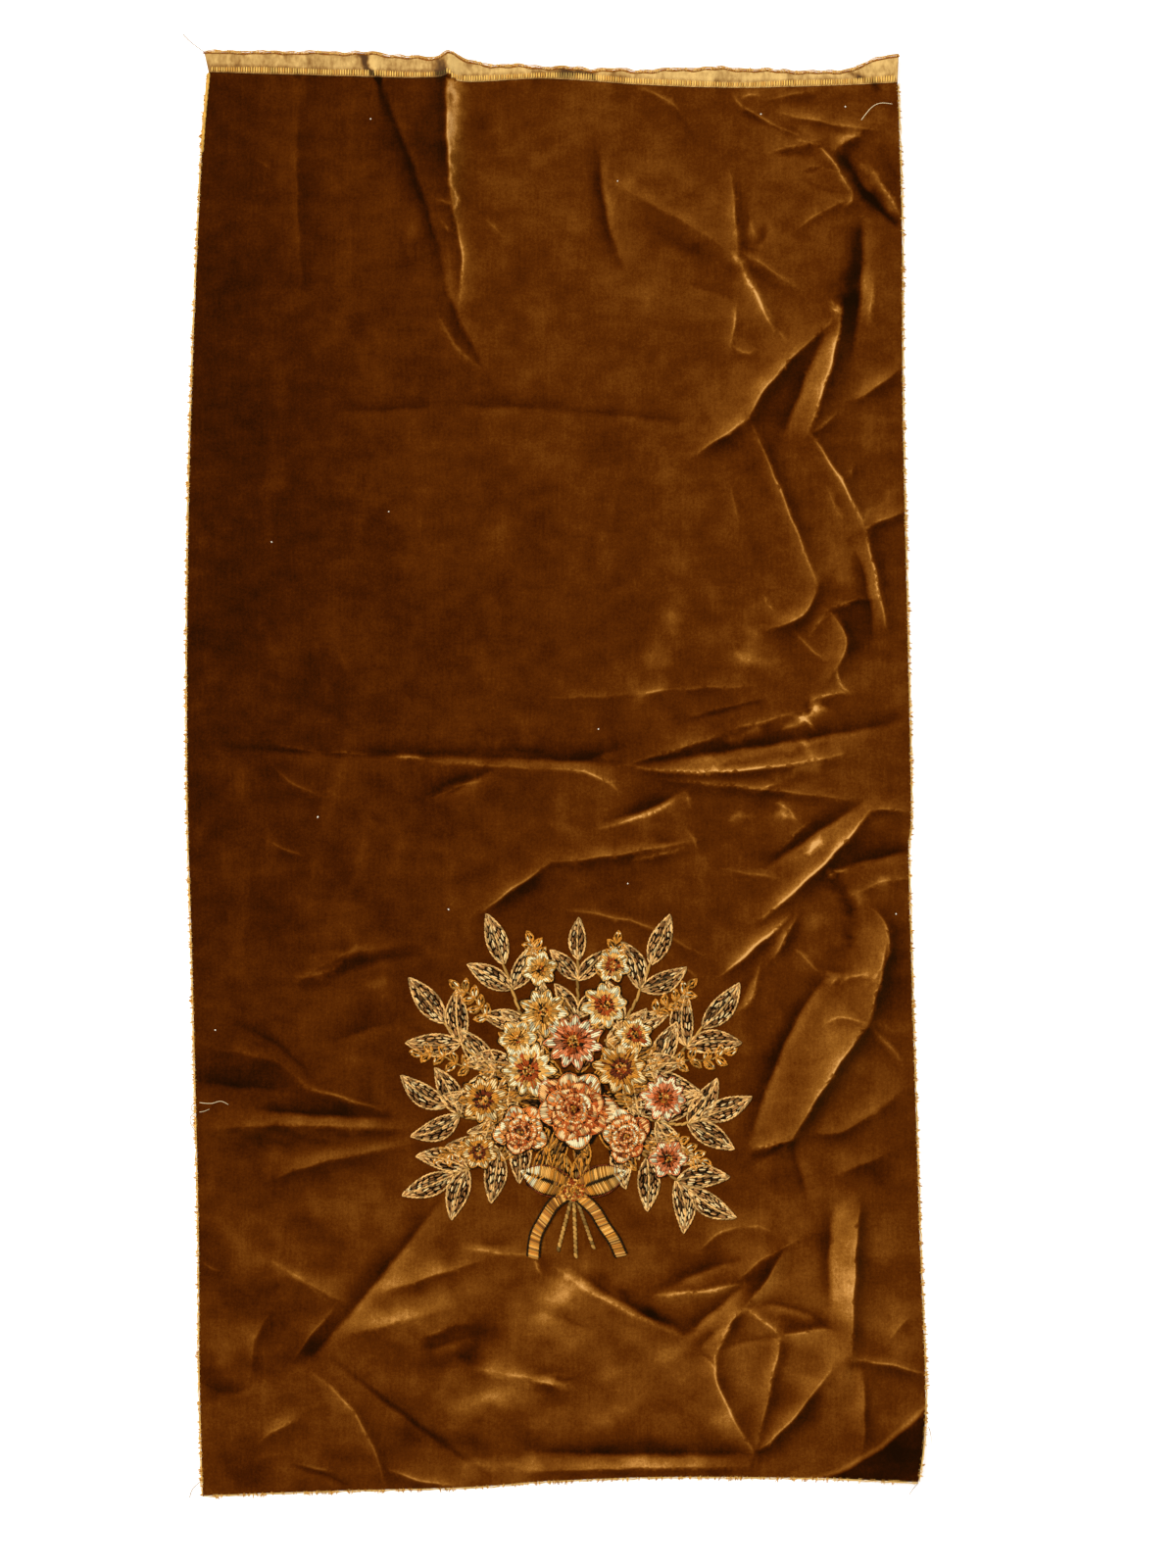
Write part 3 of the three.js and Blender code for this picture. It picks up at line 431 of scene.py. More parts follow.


# Broad lights and darks painted on the pile, darker to the left and lighter at the bottom, with painted light and
# shade beside folds and tucks: middle, reach and tone
BASE_TONE = 0.42
BROAD_LIGHTS_AND_DARKS = [
    (-330, 150, 190, 700, -0.125), (-330, 400, 120, 300, -0.05), (110, 520, 170, 150, 0.08),
    (240, 150, 100, 420, 0.05), (60, -500, 330, 150, 0.11), (-160, -440, 150, 120, 0.04),
    (-20, 330, 150, 160, 0.035), (-300, -268, 44, 12, -0.06), (-157, -247, 16, 14, -0.06),
    (110, -330, 40, 60, -0.04), (-110, 150, 130, 150, -0.04), (250, -430, 70, 100, 0.03),
    # pinch and tuck at the selvedge
    (18, 624, 14, 4, -0.40), (-88, 588, 6, 30, 0.22), (-93, 450, 6, 34, 0.14), (-226, 535, 5, 80, 0.06),
    # right side
    (266, 128, 17, 24, -0.13), (240, 195, 22, 30, 0.06), (305, -170, 13, 38, -0.05), (226, -128, 10, 16, 0.09),
    (279, -150, 9, 20, 0.07), (244, -245, 26, 34, 0.10), (262, 440, 9, 44, -0.10), (282, 515, 12, 14, -0.12),
    # bottom
    (-124, -446, 40, 13, 0.10), (-146, -484, 42, 12, 0.11), (-255, -460, 25, 18, -0.11),
    (-204, -512, 26, 14, -0.13), (-66, -506, 32, 18, -0.12), (-124, -586, 20, 13, -0.09),
    (-273, -616, 20, 18, -0.10), (-70, -556, 30, 14, 0.12), (252, -440, 10, 60, 0.12),
    (310, -572, 16, 10, 0.14), (150, -570, 12, 11, 0.16), (200, -524, 10, 8, 0.12), (124, -522, 14, 14, 0.06),
    (6, -458, 24, 16, 0.10), (80, -602, 80, 8, -0.12), (60, -614, 90, 5, 0.08), (170, -530, 18, 22, 0.08),
    (180, -492, 12, 9, 0.08), (-20, -480, 40, 20, 0.06), (70, -560, 60, 22, -0.05), (-190, -360, 60, 26, 0.05),
    (-240, -312, 60, 5, 0.06), (-250, -278, 60, 9, -0.03), (210, -590, 14, 12, 0.08),
]
# Strokes of painted light and shade along small folds, tucks and ripples, and soft marks of the pile: start, end,
# half width and tone
PAINTED_STROKES = [
    # painted light and shade of the pinch and of ripples of the selvedge
    ((-90, 612), (-92, 565), 4.0, 0.26), ((-92, 560), (-93, 522), 2.0, 0.26),
    ((-105, 637), (-100, 619), 4.0, -0.30), ((-90, 637), (-88, 617), 3.5, 0.22),
    ((-253, 642), (-249, 622), 3.0, -0.22), ((-231, 642), (-228, 622), 2.5, -0.20),
    ((-174, 641), (-158, 616), 2.6, -0.85), ((-76, 633), (-82, 616), 3.0, -0.20),
    ((-160, 640), (-152, 619), 3.5, 0.16), ((52, 626), (47, 613), 3.0, -0.12),
    ((140, 627), (143, 613), 3.0, -0.08), ((260, 624), (272, 619), 2.6, -0.7),
    ((272, 619), (286, 611), 2.6, -0.7), ((4, 625), (34, 619), 2.2, -0.55),
    ((205, 625), (209, 613), 3.0, -0.07),
    # crumples of the upper right
    ((256, 545), (276, 515), 5, -0.22), ((276, 515), (302, 492), 4, -0.20), ((272, 540), (300, 503), 3.5, 0.16),
    ((288, 552), (302, 530), 5, -0.12), ((268, 480), (258, 405), 5, -0.11), ((243, 418), (253, 408), 3, 0.25),
    ((246, 556), (266, 568), 3.5, 0.18), ((222, 600), (300, 596), 8, -0.07), ((62, 524), (128, 482), 7, 0.09),
    ((92, 480), (154, 447), 7, -0.10), ((168, 466), (186, 461), 3.5, -0.08),
    ((160, 462), (166, 457), 2.5, 0.25), ((162, 458), (190, 405), 3.5, 0.15),
    ((182, 484), (184, 470), 2.5, -0.06), ((166, 590), (224, 562), 4, -0.10), ((200, 586), (262, 574), 4, 0.06),
    # painted lit strips of the right side
    ((73, 74), (106, 150), 9, 0.16), ((90, 80), (103, 116), 7, 0.15), ((163, 84), (178, 124), 6, 0.13),
    ((160, 104), (206, 95), 4, 0.08), ((156, 30), (177, 40), 4.5, 0.32), ((203, 44), (226, 50), 3.5, 0.30),
    ((222, 48), (234, 62), 3.0, 0.50), ((220, 30), (228, 16), 4.5, 0.28), ((198, -2), (231, 8), 4.0, 0.30),
    ((157, -40), (170, -35), 2.5, 0.30), ((200, -30), (210, -40), 2.5, 0.36),
    ((226, -68), (235, -60), 2.6, 0.36), ((244, -89), (255, -86), 1.6, 0.42), ((284, -43), (312, -34), 6, 0.13),
    ((268, -110), (292, -97), 5, 0.15), ((130, -74), (131, -122), 4, 0.06), ((252, 174), (270, 170), 3, 0.08),
    ((164, 100), (150, 132), 3, 0.06), ((274, 227), (299, 248), 3, 0.10), ((120, 12), (180, 16), 2.5, 0.10),
    ((150, 8), (240, 26), 2.5, -0.12), ((249, -93), (261, -122), 4.5, -0.15),
    ((261, -122), (261, -145), 5, -0.15), ((261, -145), (247, -165), 5, -0.13),
    ((280, -222), (312, -226), 3.5, 0.12), ((180, -338), (208, -326), 4, -0.15),
    ((176, -351), (190, -343), 3, 0.09), ((250, -340), (290, -318), 9, 0.05),
    # soft marks of the middle left
    ((-167, -38), (-174, -80), 4, 0.07), ((-174, -80), (-193, -135), 4, 0.07),
    ((-197, -16), (-214, -80), 4, 0.05), ((-214, -80), (-218, -143), 5, 0.05),
    ((-184, 18), (-197, -16), 4, 0.07), ((-94, -70), (-92, -115), 5, 0.06),
    ((-200, -180), (-172, -166), 6, -0.07), ((-172, -166), (-126, -158), 6, -0.06),
    ((-213, -155), (-182, -151), 3, -0.07), ((-213, -162), (-180, -157), 3, 0.09),
    ((-180, -157), (-150, -152), 3, 0.08), ((-229, -181), (-204, -177), 3, 0.10),
    ((-224, -186), (-194, -187), 3, -0.06), ((-185, -191), (-144, -185), 6, 0.09),
    ((-229, -144), (-200, -141), 6, 0.06), ((-188, -119), (-194, -141), 5, -0.05),
    ((-300, -209), (-262, -212), 8, 0.05), ((-279, -244), (-241, -262), 6, 0.06),
    ((-241, -262), (-224, -274), 4, 0.07), ((-255, -298), (-150, -304), 5, -0.08),
    ((-298, -318), (-150, -315), 5, 0.08), ((-263, -328), (-144, -318), 4, -0.08),
    ((-279, -347), (-132, -329), 5, 0.05), ((-169, -216), (-194, -241), 5, -0.07),
    ((-158, 284), (-176, 214), 5, 0.05), ((-206, 143), (-184, 90), 5, 0.05),
    ((-120, 250), (-112, 180), 7, 0.04), ((-60, 210), (-52, 130), 8, 0.05), ((-30, 290), (40, 262), 6, 0.04),
    ((-250, 60), (-200, 48), 5, 0.04), ((-140, -60), (-70, -72), 6, 0.05),
    ((-230, -110), (-170, -118), 6, 0.05), ((-20, -40), (30, -52), 5, 0.06), ((-60, 60), (-10, 48), 5, 0.05),
    ((20, 190), (32, 140), 6, 0.05), ((120, 230), (112, 180), 6, 0.05), ((-200, -30), (-150, -42), 5, -0.05),
    ((-90, 40), (-20, 36), 4, -0.06), ((40, 110), (52, 60), 5, -0.05),
    # lights and darks under the embroidery
    ((-155, -455), (-105, -438), 12, 0.07), ((-38, -452), (-80, -515), 11, -0.11),
    ((-80, -515), (-162, -532), 9, -0.10), ((-10, -476), (14, -450), 9, 0.18),
    ((14, -452), (80, -500), 12, 0.10), ((-60, -533), (5, -541), 4, 0.16), ((2, -534), (16, -536), 2.5, -0.18),
    ((-90, -566), (-44, -545), 8, 0.15), ((-15, -577), (60, -565), 10, 0.09),
    ((30, -535), (110, -515), 8, 0.07), ((-160, -480), (-118, -488), 6, 0.10),
    ((-20, -612), (-75, -612), 5, 0.12), ((-310, -561), (-272, -547), 4, 0.07),
    ((-300, -400), (-262, -430), 5, 0.06), ((-262, -430), (-228, -448), 4, 0.08),
    ((-290, -470), (-258, -478), 5, -0.07), ((-300, -520), (-268, -500), 4, 0.06),
    ((-240, -540), (-222, -520), 4, 0.07), ((-250, -575), (-214, -560), 5, 0.08),
    ((-200, -560), (-168, -596), 6, 0.05), ((-262, -606), (-232, -600), 5, 0.08),
    ((-160, -540), (-120, -520), 6, 0.06), ((-110, -585), (-70, -600), 6, -0.07),
    ((-150, -505), (-100, -512), 5, -0.07), ((-300, -600), (-270, -575), 6, 0.05),
    ((60, -548), (100, -575), 8, 0.07), ((40, -449), (83, -477), 4.5, -0.16),
    ((83, -477), (114, -491), 4, -0.18), ((186, -479), (235, -490), 4.5, -0.14),
    ((-110, -500), (-60, -485), 5, -0.08), ((-130, -560), (-100, -540), 8, -0.06),
]
# Marks have ragged edges and are patchy, in patches of these lengths
RAGGED = 3.5
RAGGED_LENGTHS = (4.3, 5.1)
PATCHY = 0.6
PATCHY_LENGTH = 6.5
# The pile is crushed in soft patches, more in the lower part of the cloth
CRUSHED = 0.03
CRUSHED_LOW = 0.05
CRUSHED_LENGTH = 17
CRUSHED_FINE = 0.7
CRUSHED_FINE_LENGTH = 8
LOW_FROM = -330
LOW_FADE = 120
# Steps from one cloud pattern to another that looks unlike it
FAR_OFF = 91
LESS_FAR_OFF = 50
# The selvedge is darker between its upright picks
PICK_SHADE = 0.22
PICK_REACH = 8.5
PICK_FADE = 1.5
# Painted shading along each fold: the flank towards the upper left is painted lighter, the other darker
LIGHT_SIDE = np.array([-0.72, 0.69])
NEAR_TONE = 0.135
NEAR_REACH = 2.8
FAR_TONE = 0.050
FAR_SHARE = 0.6
LIT_SHARE = 0.65
SHADING_REACH = 6
SHADING_SPAN = (0.08, 0.84)
CREST_SPAN = (0.1, 0.8)
CREST_TONE = 0.76
CREST_WIDTH = 1.0
CREST_CORE = 0.72
CREST_HALO = 3.2
VALLEY_SHADE = -0.10
VALLEY_WIDTH = 2.4
TONE_LIMIT = 0.34
# The line where the lower right corner lifts from the table: painted shade past it, with a painted highlight
# along a rim before it
CORNER_BEND = ((222, -630), (280, -603), (334, -557))
CORNER_SHADE = -0.38
CORNER_FADE = 3
CORNER_RIM_LIGHT = 0.20
RIM_PLACE = 1.6
RIM_WIDTH = 2.2


def hump(reach):
    """Rises from 0 at a crest to 1 at its own reach, and fades beyond."""
    return reach * np.exp(1 - reach)


def bell(distance, width):
    """1 at a line, fading to both sides."""
    return np.exp(-((distance / width) ** 2))


def arch(along, span):
    """Rises to 1 midway along. The span is where on a half wave it starts and how much of it it takes."""
    start, share = span
    return np.sin(np.pi * np.clip(start + share * along, 0, 1))


def clouds(points, length):
    """Soft uneven patches of about a length in size, from -1 to 1: three waves, each bent by another."""
    x, y = (points / length).T
    patches = np.sin(x + 1.9 * np.sin(0.83 * y)) + np.sin(1.31 * y + 1.6 * np.sin(0.71 * x + 1.1))
    return (patches + np.sin(0.9 * (x + y) + 1.4 * np.sin(0.6 * (x - y) + 2.3))) / 3


def shaded_pile_tone(points):
    """Tone of the pile at plan points, 0 dark to 1 bright, with painted lights and shades of its folds, strokes
    and lifted corner.
    """
    tone = np.full(len(points), BASE_TONE)
    ragged_x, ragged_y = RAGGED_LENGTHS
    ragged = points + RAGGED * np.column_stack([clouds(points, ragged_x), clouds(points + FAR_OFF, ragged_y)])
    patchy = 1 + PATCHY * clouds(points, PATCHY_LENGTH)
    # Broad painted lights and darks
    for x, y, reach_x, reach_y, amount in BROAD_LIGHTS_AND_DARKS:
        away = ((ragged[:, 0] - x) / reach_x) ** 2 + ((ragged[:, 1] - y) / reach_y) ** 2
        tone += amount * np.exp(-away)
    crushed = CRUSHED + CRUSHED_LOW * smoothstep((LOW_FROM - points[:, 1]) / LOW_FADE)
    fine = clouds(points + LESS_FAR_OFF, CRUSHED_FINE_LENGTH)
    tone += crushed * (clouds(points, CRUSHED_LENGTH) + CRUSHED_FINE * fine)
    above = points[:, 1] - border_height(points[:, 0])
    tone -= PICK_SHADE * (above > 0.5 * PILE_STEP) * smoothstep((PICK_REACH - above) / PICK_FADE)
    # Painted light and shade along strokes
    for start, end, half_width, amount in PAINTED_STROKES:
        distance = nearest_on_fold(np.array([start, end], float), ragged)[0]
        tone += amount * patchy * bell(distance, half_width)
    # Painted shading of fold flanks, painted shade in valleys and a painted highlight along crests
    flank_shading, crest_highlights = np.zeros(len(points)), np.zeros(len(points))
    for start, via, end, rise, left, right, painted_crest_light, facing in FOLDS:
        path = fold_path(start, via, end)
        near = around(path, SHADING_REACH * max(left, right), points)
        if not near.any():
            continue
        distance, side, along = nearest_on_fold(path, points[near])
        strength = math.sqrt(abs(rise)) * arch(along, SHADING_SPAN)
        run = path[-1] - path[0]
        across = np.array([-run[1], run[0]]) / np.hypot(*run)
        towards_light = np.sign(rise) * facing * side * (across @ LIGHT_SIDE)
        lean = NEAR_TONE * hump(distance / NEAR_REACH)
        lean += FAR_TONE * hump(distance / (FAR_SHARE * np.where(side > 0, left, right)))
        flank_shading[near] += strength * lean * np.where(towards_light > 0, LIT_SHARE, 1) * towards_light
        if rise < 0:
            flank_shading[near] += VALLEY_SHADE * strength * bell(distance, VALLEY_WIDTH)
        line = CREST_CORE * bell(distance, CREST_WIDTH) + (1 - CREST_CORE) * bell(distance, CREST_HALO)
        line *= painted_crest_light * arch(along, CREST_SPAN)
        crest_highlights[near] = np.maximum(crest_highlights[near], line)
    tone += TONE_LIMIT * np.tanh(flank_shading / TONE_LIMIT) + CREST_TONE * crest_highlights
    # Painted shade past the corner's bend, and a painted highlight along its rim
    distance, side, _ = nearest_on_fold(fold_path(*CORNER_BEND), points)
    past = np.where(side < 0, distance, -distance)
    return tone + CORNER_SHADE * smoothstep(past / CORNER_FADE) + CORNER_RIM_LIGHT * bell(past + RIM_PLACE, RIM_WIDTH)


# Where the mesh gets its points: along each crest and lines beside it, along strokes, the lifted corner
# and the selvedge, and in a staggered, slightly uneven field over the open cloth
CREST_SPACING = 6.0
FLANK_SHARES = (0.9, 1.7)
LINE_OFFSETS = (0.8, 1.8, 3.8)
STROKE_SHARES = (0, -0.8, 0.8)
BEND_OFFSETS = (-4, -2.5, -1, 0, 1.6, 3.2, 5)
SELVEDGE_SPACING = 3.0
SELVEDGE_RISES = (4, 30)
FIELD_X = (-335, 335)
FIELD_Y = (-640, 645)
FIELD_SPACING = 5.9
ROW_SHARE = 0.866
FIELD_JITTER = 0.9
POINT_CLEARANCE = 0.7
FIELD_CLEARANCE = 4.4
EDGE_CLEARANCE = 2.6


def fold_points():
    """Mesh points on the crests and on lines beside them, so that creases stay crisp."""
    found = []
    for start, via, end, _, left, right, _, _ in FOLDS:
        path = smooth_line(fold_path(start, via, end), CREST_SPACING)
        run = np.gradient(path, axis=0)
        across = np.column_stack([-run[:, 1], run[:, 0]]) / np.hypot(run[:, 0], run[:, 1])[:, None]
        offsets = [0, *LINE_OFFSETS, *(-offset for offset in LINE_OFFSETS)]
        offsets += [share * left for share in FLANK_SHARES] + [-share * right for share in FLANK_SHARES]
        found += [(offset, path + offset * across) for offset in offsets]
    found.sort(key=lambda pair: abs(pair[0]))
    for start, end, half_width, _ in PAINTED_STROKES:
        path = smooth_line((start, end), CREST_SPACING)
        aside = np.array([start[1] - end[1], end[0] - start[0]]) / math.dist(start, end)
        found += [(0, path + share * half_width * aside) for share in STROKE_SHARES]
    bend = smooth_line(fold_path(*CORNER_BEND), SELVEDGE_SPACING)
    found += [(0, bend + offset * LIGHT_SIDE) for offset in BEND_OFFSETS]
    selvedge = smooth_line(PILE_BORDER, SELVEDGE_SPACING)
    found += [(0, selvedge + (0, rise)) for rise in np.arange(*SELVEDGE_RISES, SELVEDGE_SPACING)]
    return np.vstack([line for _, line in found])


def field_points():
    rows = np.arange(*FIELD_Y, ROW_SHARE * FIELD_SPACING)
    columns = np.arange(*FIELD_X, FIELD_SPACING)
    grid = np.array([(x + 0.5 * FIELD_SPACING * (i % 2), y) for i, y in enumerate(rows) for x in columns])
    x, y = grid.T
    return grid + FIELD_JITTER * np.column_stack([np.sin(y * 1.7 + x), np.cos(x * 2.3)])


def thinned(points, clearance):
    """Keeps the first point in each small square."""
    first = np.unique(np.round(points / clearance), axis=0, return_index=True)[1]
    return points[np.sort(first)]


def inside(points):
    """Which plan points lie on the cloth, clear of its edges and of the pile border."""
    x, y = points.T
    past_left = x > np.interp(y, left_edge[:, 1], left_edge[:, 0]) + EDGE_CLEARANCE
    past_right = x < np.interp(y, right_edge[:, 1], right_edge[:, 0]) - EDGE_CLEARANCE
    over_bottom = y > np.interp(x, bottom_edge[:, 0], bottom_edge[:, 1]) + EDGE_CLEARANCE
    under_top = y < np.interp(x, selvedge_edge[::-1, 0], selvedge_edge[::-1, 1]) - EDGE_CLEARANCE
    off_border = np.abs(y - border_height(x) - 0.5 * PILE_STEP) > EDGE_CLEARANCE
    return past_left & past_right & over_bottom & under_top & off_border


def velvet_plan():
    """Plan points and triangles of the cloth, its pile border kept as a line."""
    outline = np.vstack([
        bottom_edge[:-1], right_edge, step_foot[-1:], selvedge_edge, step_foot[:1], left_edge[::-1][:-1],
    ])
    lines = [pile_border[1:-1], step_foot[1:-1]]
    creased = thinned(fold_points(), POINT_CLEARANCE)
    taken = {tuple(cell) for cell in np.round(creased / FIELD_CLEARANCE).astype(int)}
    field = field_points()
    free = [tuple(cell) not in taken for cell in np.round(field / FIELD_CLEARANCE).astype(int)]
    body = np.vstack([creased, field[free]])
    points = np.vstack([outline, *lines, body[inside(body)]])
    edges = [(i, (i + 1) % len(outline)) for i in range(len(outline))]
    meshed = delaunay_2d_cdt([Vector(point) for point in points], edges, [], 1, 1e-5)
    return np.array([tuple(point) for point in meshed[0]]), [list(face) for face in meshed[2]]


def is_bare(points):
    """Which plan points lie on the selvedge, past the edge of the pile."""
    return points[:, 1] > border_height(points[:, 0]) + 0.5 * PILE_STEP


def top_of(points):
    """Height of the cloth's upper face at plan points."""
    return lay(points) + np.where(is_bare(points), SELVEDGE_THICKNESS, PILE_THICKNESS)


plan, faces = velvet_plan()
bare = is_bare(plan)
surface = np.column_stack([plan, top_of(plan)]) * MM
velvet_mesh = bpy.data.meshes.new("velvet_cloth")
velvet_mesh.from_pydata(surface.tolist(), [], faces)
velvet = bpy.data.objects.new("velvet_cloth", velvet_mesh)
bpy.context.collection.objects.link(velvet)
# The tone attribute carries the pile's painted lights and shades into its colour
tone = velvet_mesh.attributes.new("tone", "FLOAT", "POINT")
tone.data.foreach_set("value", shaded_pile_tone(plan))
velvet_mesh.polygons.foreach_set("material_index", [int(bare[face].all()) for face in faces])
full_pile = velvet.vertex_groups.new(name="full_pile")
full_pile.add(np.flatnonzero(~bare).tolist(), 1.0, "REPLACE")

bpy.ops.object.select_all(action="DESELECT")
velvet.select_set(True)
bpy.context.view_layer.objects.active = velvet
solid = velvet.modifiers.new("thickness", "SOLIDIFY")
solid.thickness = PILE_THICKNESS * MM
solid.offset = -1
solid.vertex_group = "full_pile"
solid.thickness_vertex_group = SELVEDGE_THICKNESS / PILE_THICKNESS
solid.material_offset = 2
solid.material_offset_rim = 2


class Wire:
    """One output of a shader node. Arithmetic on wires adds Math nodes."""

    def __init__(self, tree, output):
        self.tree = tree
        self.output = output

    def node(self, kind, settings, sockets, output=0):
        made = self.tree.nodes.new(kind)
        for key, value in settings.items():
            if key == "stops":
                ramp = made.color_ramp
                while len(ramp.elements) < len(value):
                    ramp.elements.new(1.0)
                for element, (place, colour) in zip(ramp.elements, value):
                    element.position = place
                    element.color = (*colour, 1)
            else:
                setattr(made, key, value)
        for key, value in sockets.items():
            if isinstance(value, Wire):
                self.tree.links.new(value.output, made.inputs[key])
            else:
                made.inputs[key].default_value = value
        return Wire(self.tree, made.outputs[output])

    def math(self, operation, first, second):
        return self.node("ShaderNodeMath", {"operation": operation}, {0: first, 1: second})

    def __add__(self, other):
        return self.math("ADD", self, other)

    def __sub__(self, other):
        return self.math("SUBTRACT", self, other)

    def __rsub__(self, other):
        return self.math("SUBTRACT", other, self)

    def __mul__(self, other):
        return self.math("MULTIPLY", self, other)

    __radd__ = __add__
    __rmul__ = __mul__

    def noise(self, scale, detail=2.0, stretch=(1, 1, 1)):
        place = self.node("ShaderNodeMapping", {}, {"Vector": self, "Scale": stretch})
        return self.node("ShaderNodeTexNoise", {}, {"Vector": place, "Scale": scale, "Detail": detail})


def new_finish(name, **constants):
    """A material with constant values on its shader: the material, the shader and object coordinates."""
    material = bpy.data.materials.new(name)
    material.use_nodes = True
    tree = material.node_tree
    shader = tree.nodes["Principled BSDF"]
    for socket, value in constants.items():
        shader.inputs[socket.replace("_", " ")].default_value = value
    place = Wire(tree, tree.nodes.new("ShaderNodeTexCoord").outputs["Object"])
    return material, shader, place


def set_wire(shader, socket, wire):
    wire.tree.links.new(wire.output, shader.inputs[socket])


def set_bump(shader, height, depth, strength):
    bump = height.node(
        "ShaderNodeBump", {}, {"Height": height, "Distance": depth, "Strength": strength})
    set_wire(shader, "Normal", bump)


PILE_TONES = [
    (0.00, (0.006, 0.0012, 0.0002)),
    (0.15, (0.018, 0.0029, 0.0003)),
    (0.30, (0.048, 0.0077, 0.0003)),
    (0.45, (0.090, 0.0180, 0.0008)),
    (0.60, (0.155, 0.043, 0.0035)),
    (0.75, (0.262, 0.091, 0.010)),
    (0.90, (0.50, 0.215, 0.043)),
    (1.00, (0.66, 0.33, 0.095)),
]
# Grain of the pile, from broad blotches to single fibres: share of the tone, scale, detail, and the
# stretch of a grain that is drawn out
PILE_GRAIN = {
    "blotch": (0.3, 13, 5),
    "streak": (0.25, 70, 6, (0.7, 1.1, 1.0)),
    "nap": (0.11, 420, 2, (1.0, 0.1, 1.0)),
    "tuft": (0.2, 420, 2),
    "fibre": (0.2, 1200, 1),
}
GRAIN_MEAN = 0.5
# Bright flecks of crushed pile, where a noise of their own passes a level
FLECK_GRAIN = (34, 4, (1.0, 0.5, 1.0))
FLECK_FROM = 0.55
FLECK_TONE = 0.5
FLECK_MEAN = 0.012
TUFT_DEPTH = 0.9
FIBRE_SHARE = 0.6
CLOTH_RELIEF = 0.5


def pile_finish():
    material, shader, place = new_finish(
        "velvet_pile", Roughness=0.95, Sheen_Weight=0.16, Sheen_Roughness=0.5, Sheen_Tint=(1.0, 0.5, 0.06, 1),
        Specular_IOR_Level=0.04, Specular_Tint=(1.0, 0.55, 0.1, 1))
    # The tone attribute brings in the painted lights and shades of folds and strokes
    tone = place.node("ShaderNodeAttribute", {"attribute_name": "tone"}, {}, output=2)
    fleck = place.math("MAXIMUM", place.noise(*FLECK_GRAIN) - FLECK_FROM, 0.0)
    shaded_grain_tone = tone + FLECK_TONE * fleck - FLECK_MEAN
    grain = {}
    for name, (share, *pattern) in PILE_GRAIN.items():
        grain[name] = place.noise(*pattern) - GRAIN_MEAN
        shaded_grain_tone = shaded_grain_tone + share * grain[name]
    set_wire(shader, "Base Color", place.node("ShaderNodeValToRGB", {"stops": PILE_TONES}, {"Fac": shaded_grain_tone}))
    set_bump(shader, grain["tuft"] + FIBRE_SHARE * grain["fibre"], TUFT_DEPTH * MM, CLOTH_RELIEF)
    return material


GROUND_TONES = [(0.0, (0.09, 0.034, 0.005)), (0.4, (0.33, 0.15, 0.028)), (1.0, (0.86, 0.54, 0.17))]
BACK_TONES = [(0.0, (0.24, 0.11, 0.022)), (1.0, (0.33, 0.16, 0.034))]
WEAVE_SCALE = 520
WEAVE_WAVER = 0.6
WEAVE_DEPTH = 0.4
# What darkens and lightens the bare weave: its threads, its tone attribute, which carries the painted shade
# of its ripples and tucks, and wear as a share of the tone, scale, detail and stretch
WEAVE_TONE = 0.4
SHADED_TONE_SHARE = 1.2
SHADED_TONE_MEAN = 0.4
WEAR = ((0.7, 90, 4), (0.9, 300, 3, (1.0, 0.5, 1.0)))
WEAR_MEAN = 0.24


def weave_finish(name, stops):
    material, shader, place = new_finish(name, Roughness=0.82, Sheen_Weight=0.1, Specular_IOR_Level=0.2)
    warp, weft = (
        place.node(
            "ShaderNodeTexWave", {"bands_direction": direction},
            {"Vector": place, "Scale": WEAVE_SCALE, "Distortion": WEAVE_WAVER}, output=1)
        for direction in "XY"
    )
    tone = place.node("ShaderNodeAttribute", {"attribute_name": "tone"}, {}, output=2)
    thread = 0.5 * warp + 0.5 * weft
    worn = WEAVE_TONE * thread + SHADED_TONE_SHARE * (tone - SHADED_TONE_MEAN) - WEAR_MEAN
    for share, *pattern in WEAR:
        worn = worn + share * place.noise(*pattern)
    set_wire(shader, "Base Color", place.node("ShaderNodeValToRGB", {"stops": stops}, {"Fac": worn}))
    set_bump(shader, thread, WEAVE_DEPTH * MM, CLOTH_RELIEF)
    return material


SMOOTH_UNDER = math.radians(70)

for finish in (
    pile_finish(),
    weave_finish("selvedge_weave", GROUND_TONES),
    weave_finish("ground_back", BACK_TONES),
):
    velvet_mesh.materials.append(finish)
bpy.ops.object.modifier_apply(modifier=solid.name)
bpy.ops.object.shade_smooth_by_angle(angle=SMOOTH_UNDER)
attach(velvet, "root")
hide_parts("velvet_panel")

# The embroidery: a tied bouquet worked on the finished velvet in lustrous thread. Leaves are hatched
# lengthwise and roped round, petals are in satin stitch, and flower eyes are knots.
BASE = PILE_THICKNESS + 0.1
THREAD_WIDTH = 1.5
THREAD_HEIGHT = 0.8
HATCH_PITCH = 2.05
HATCH_WIDTH = 1.35
SATIN_PITCH = 1.9
SATIN_WIDTH = 1.6
ROPE_OVERLAP = 0.2
BRIGHTEST = 0.97
TINY = 1e-9
CREAM = (255, 240, 186)
PALE_GOLD = (218, 160, 76)
GOLD = (190, 122, 38)
RUST = (160, 66, 20)
DEEP_RUST = (100, 36, 12)
GREY_BROWN = (146, 98, 52)
DARK = (24, 9, 2)
OLIVE = (172, 126, 58)
ROSE_PINK = (208, 120, 70)


def linear(colour):
    """The light a colour on the 0 to 255 scale stands for."""
    share = np.asarray(colour, float) / 255
    return np.where(share < 0.04045, share / 12.92, ((share + 0.055) / 1.055) ** 2.4)


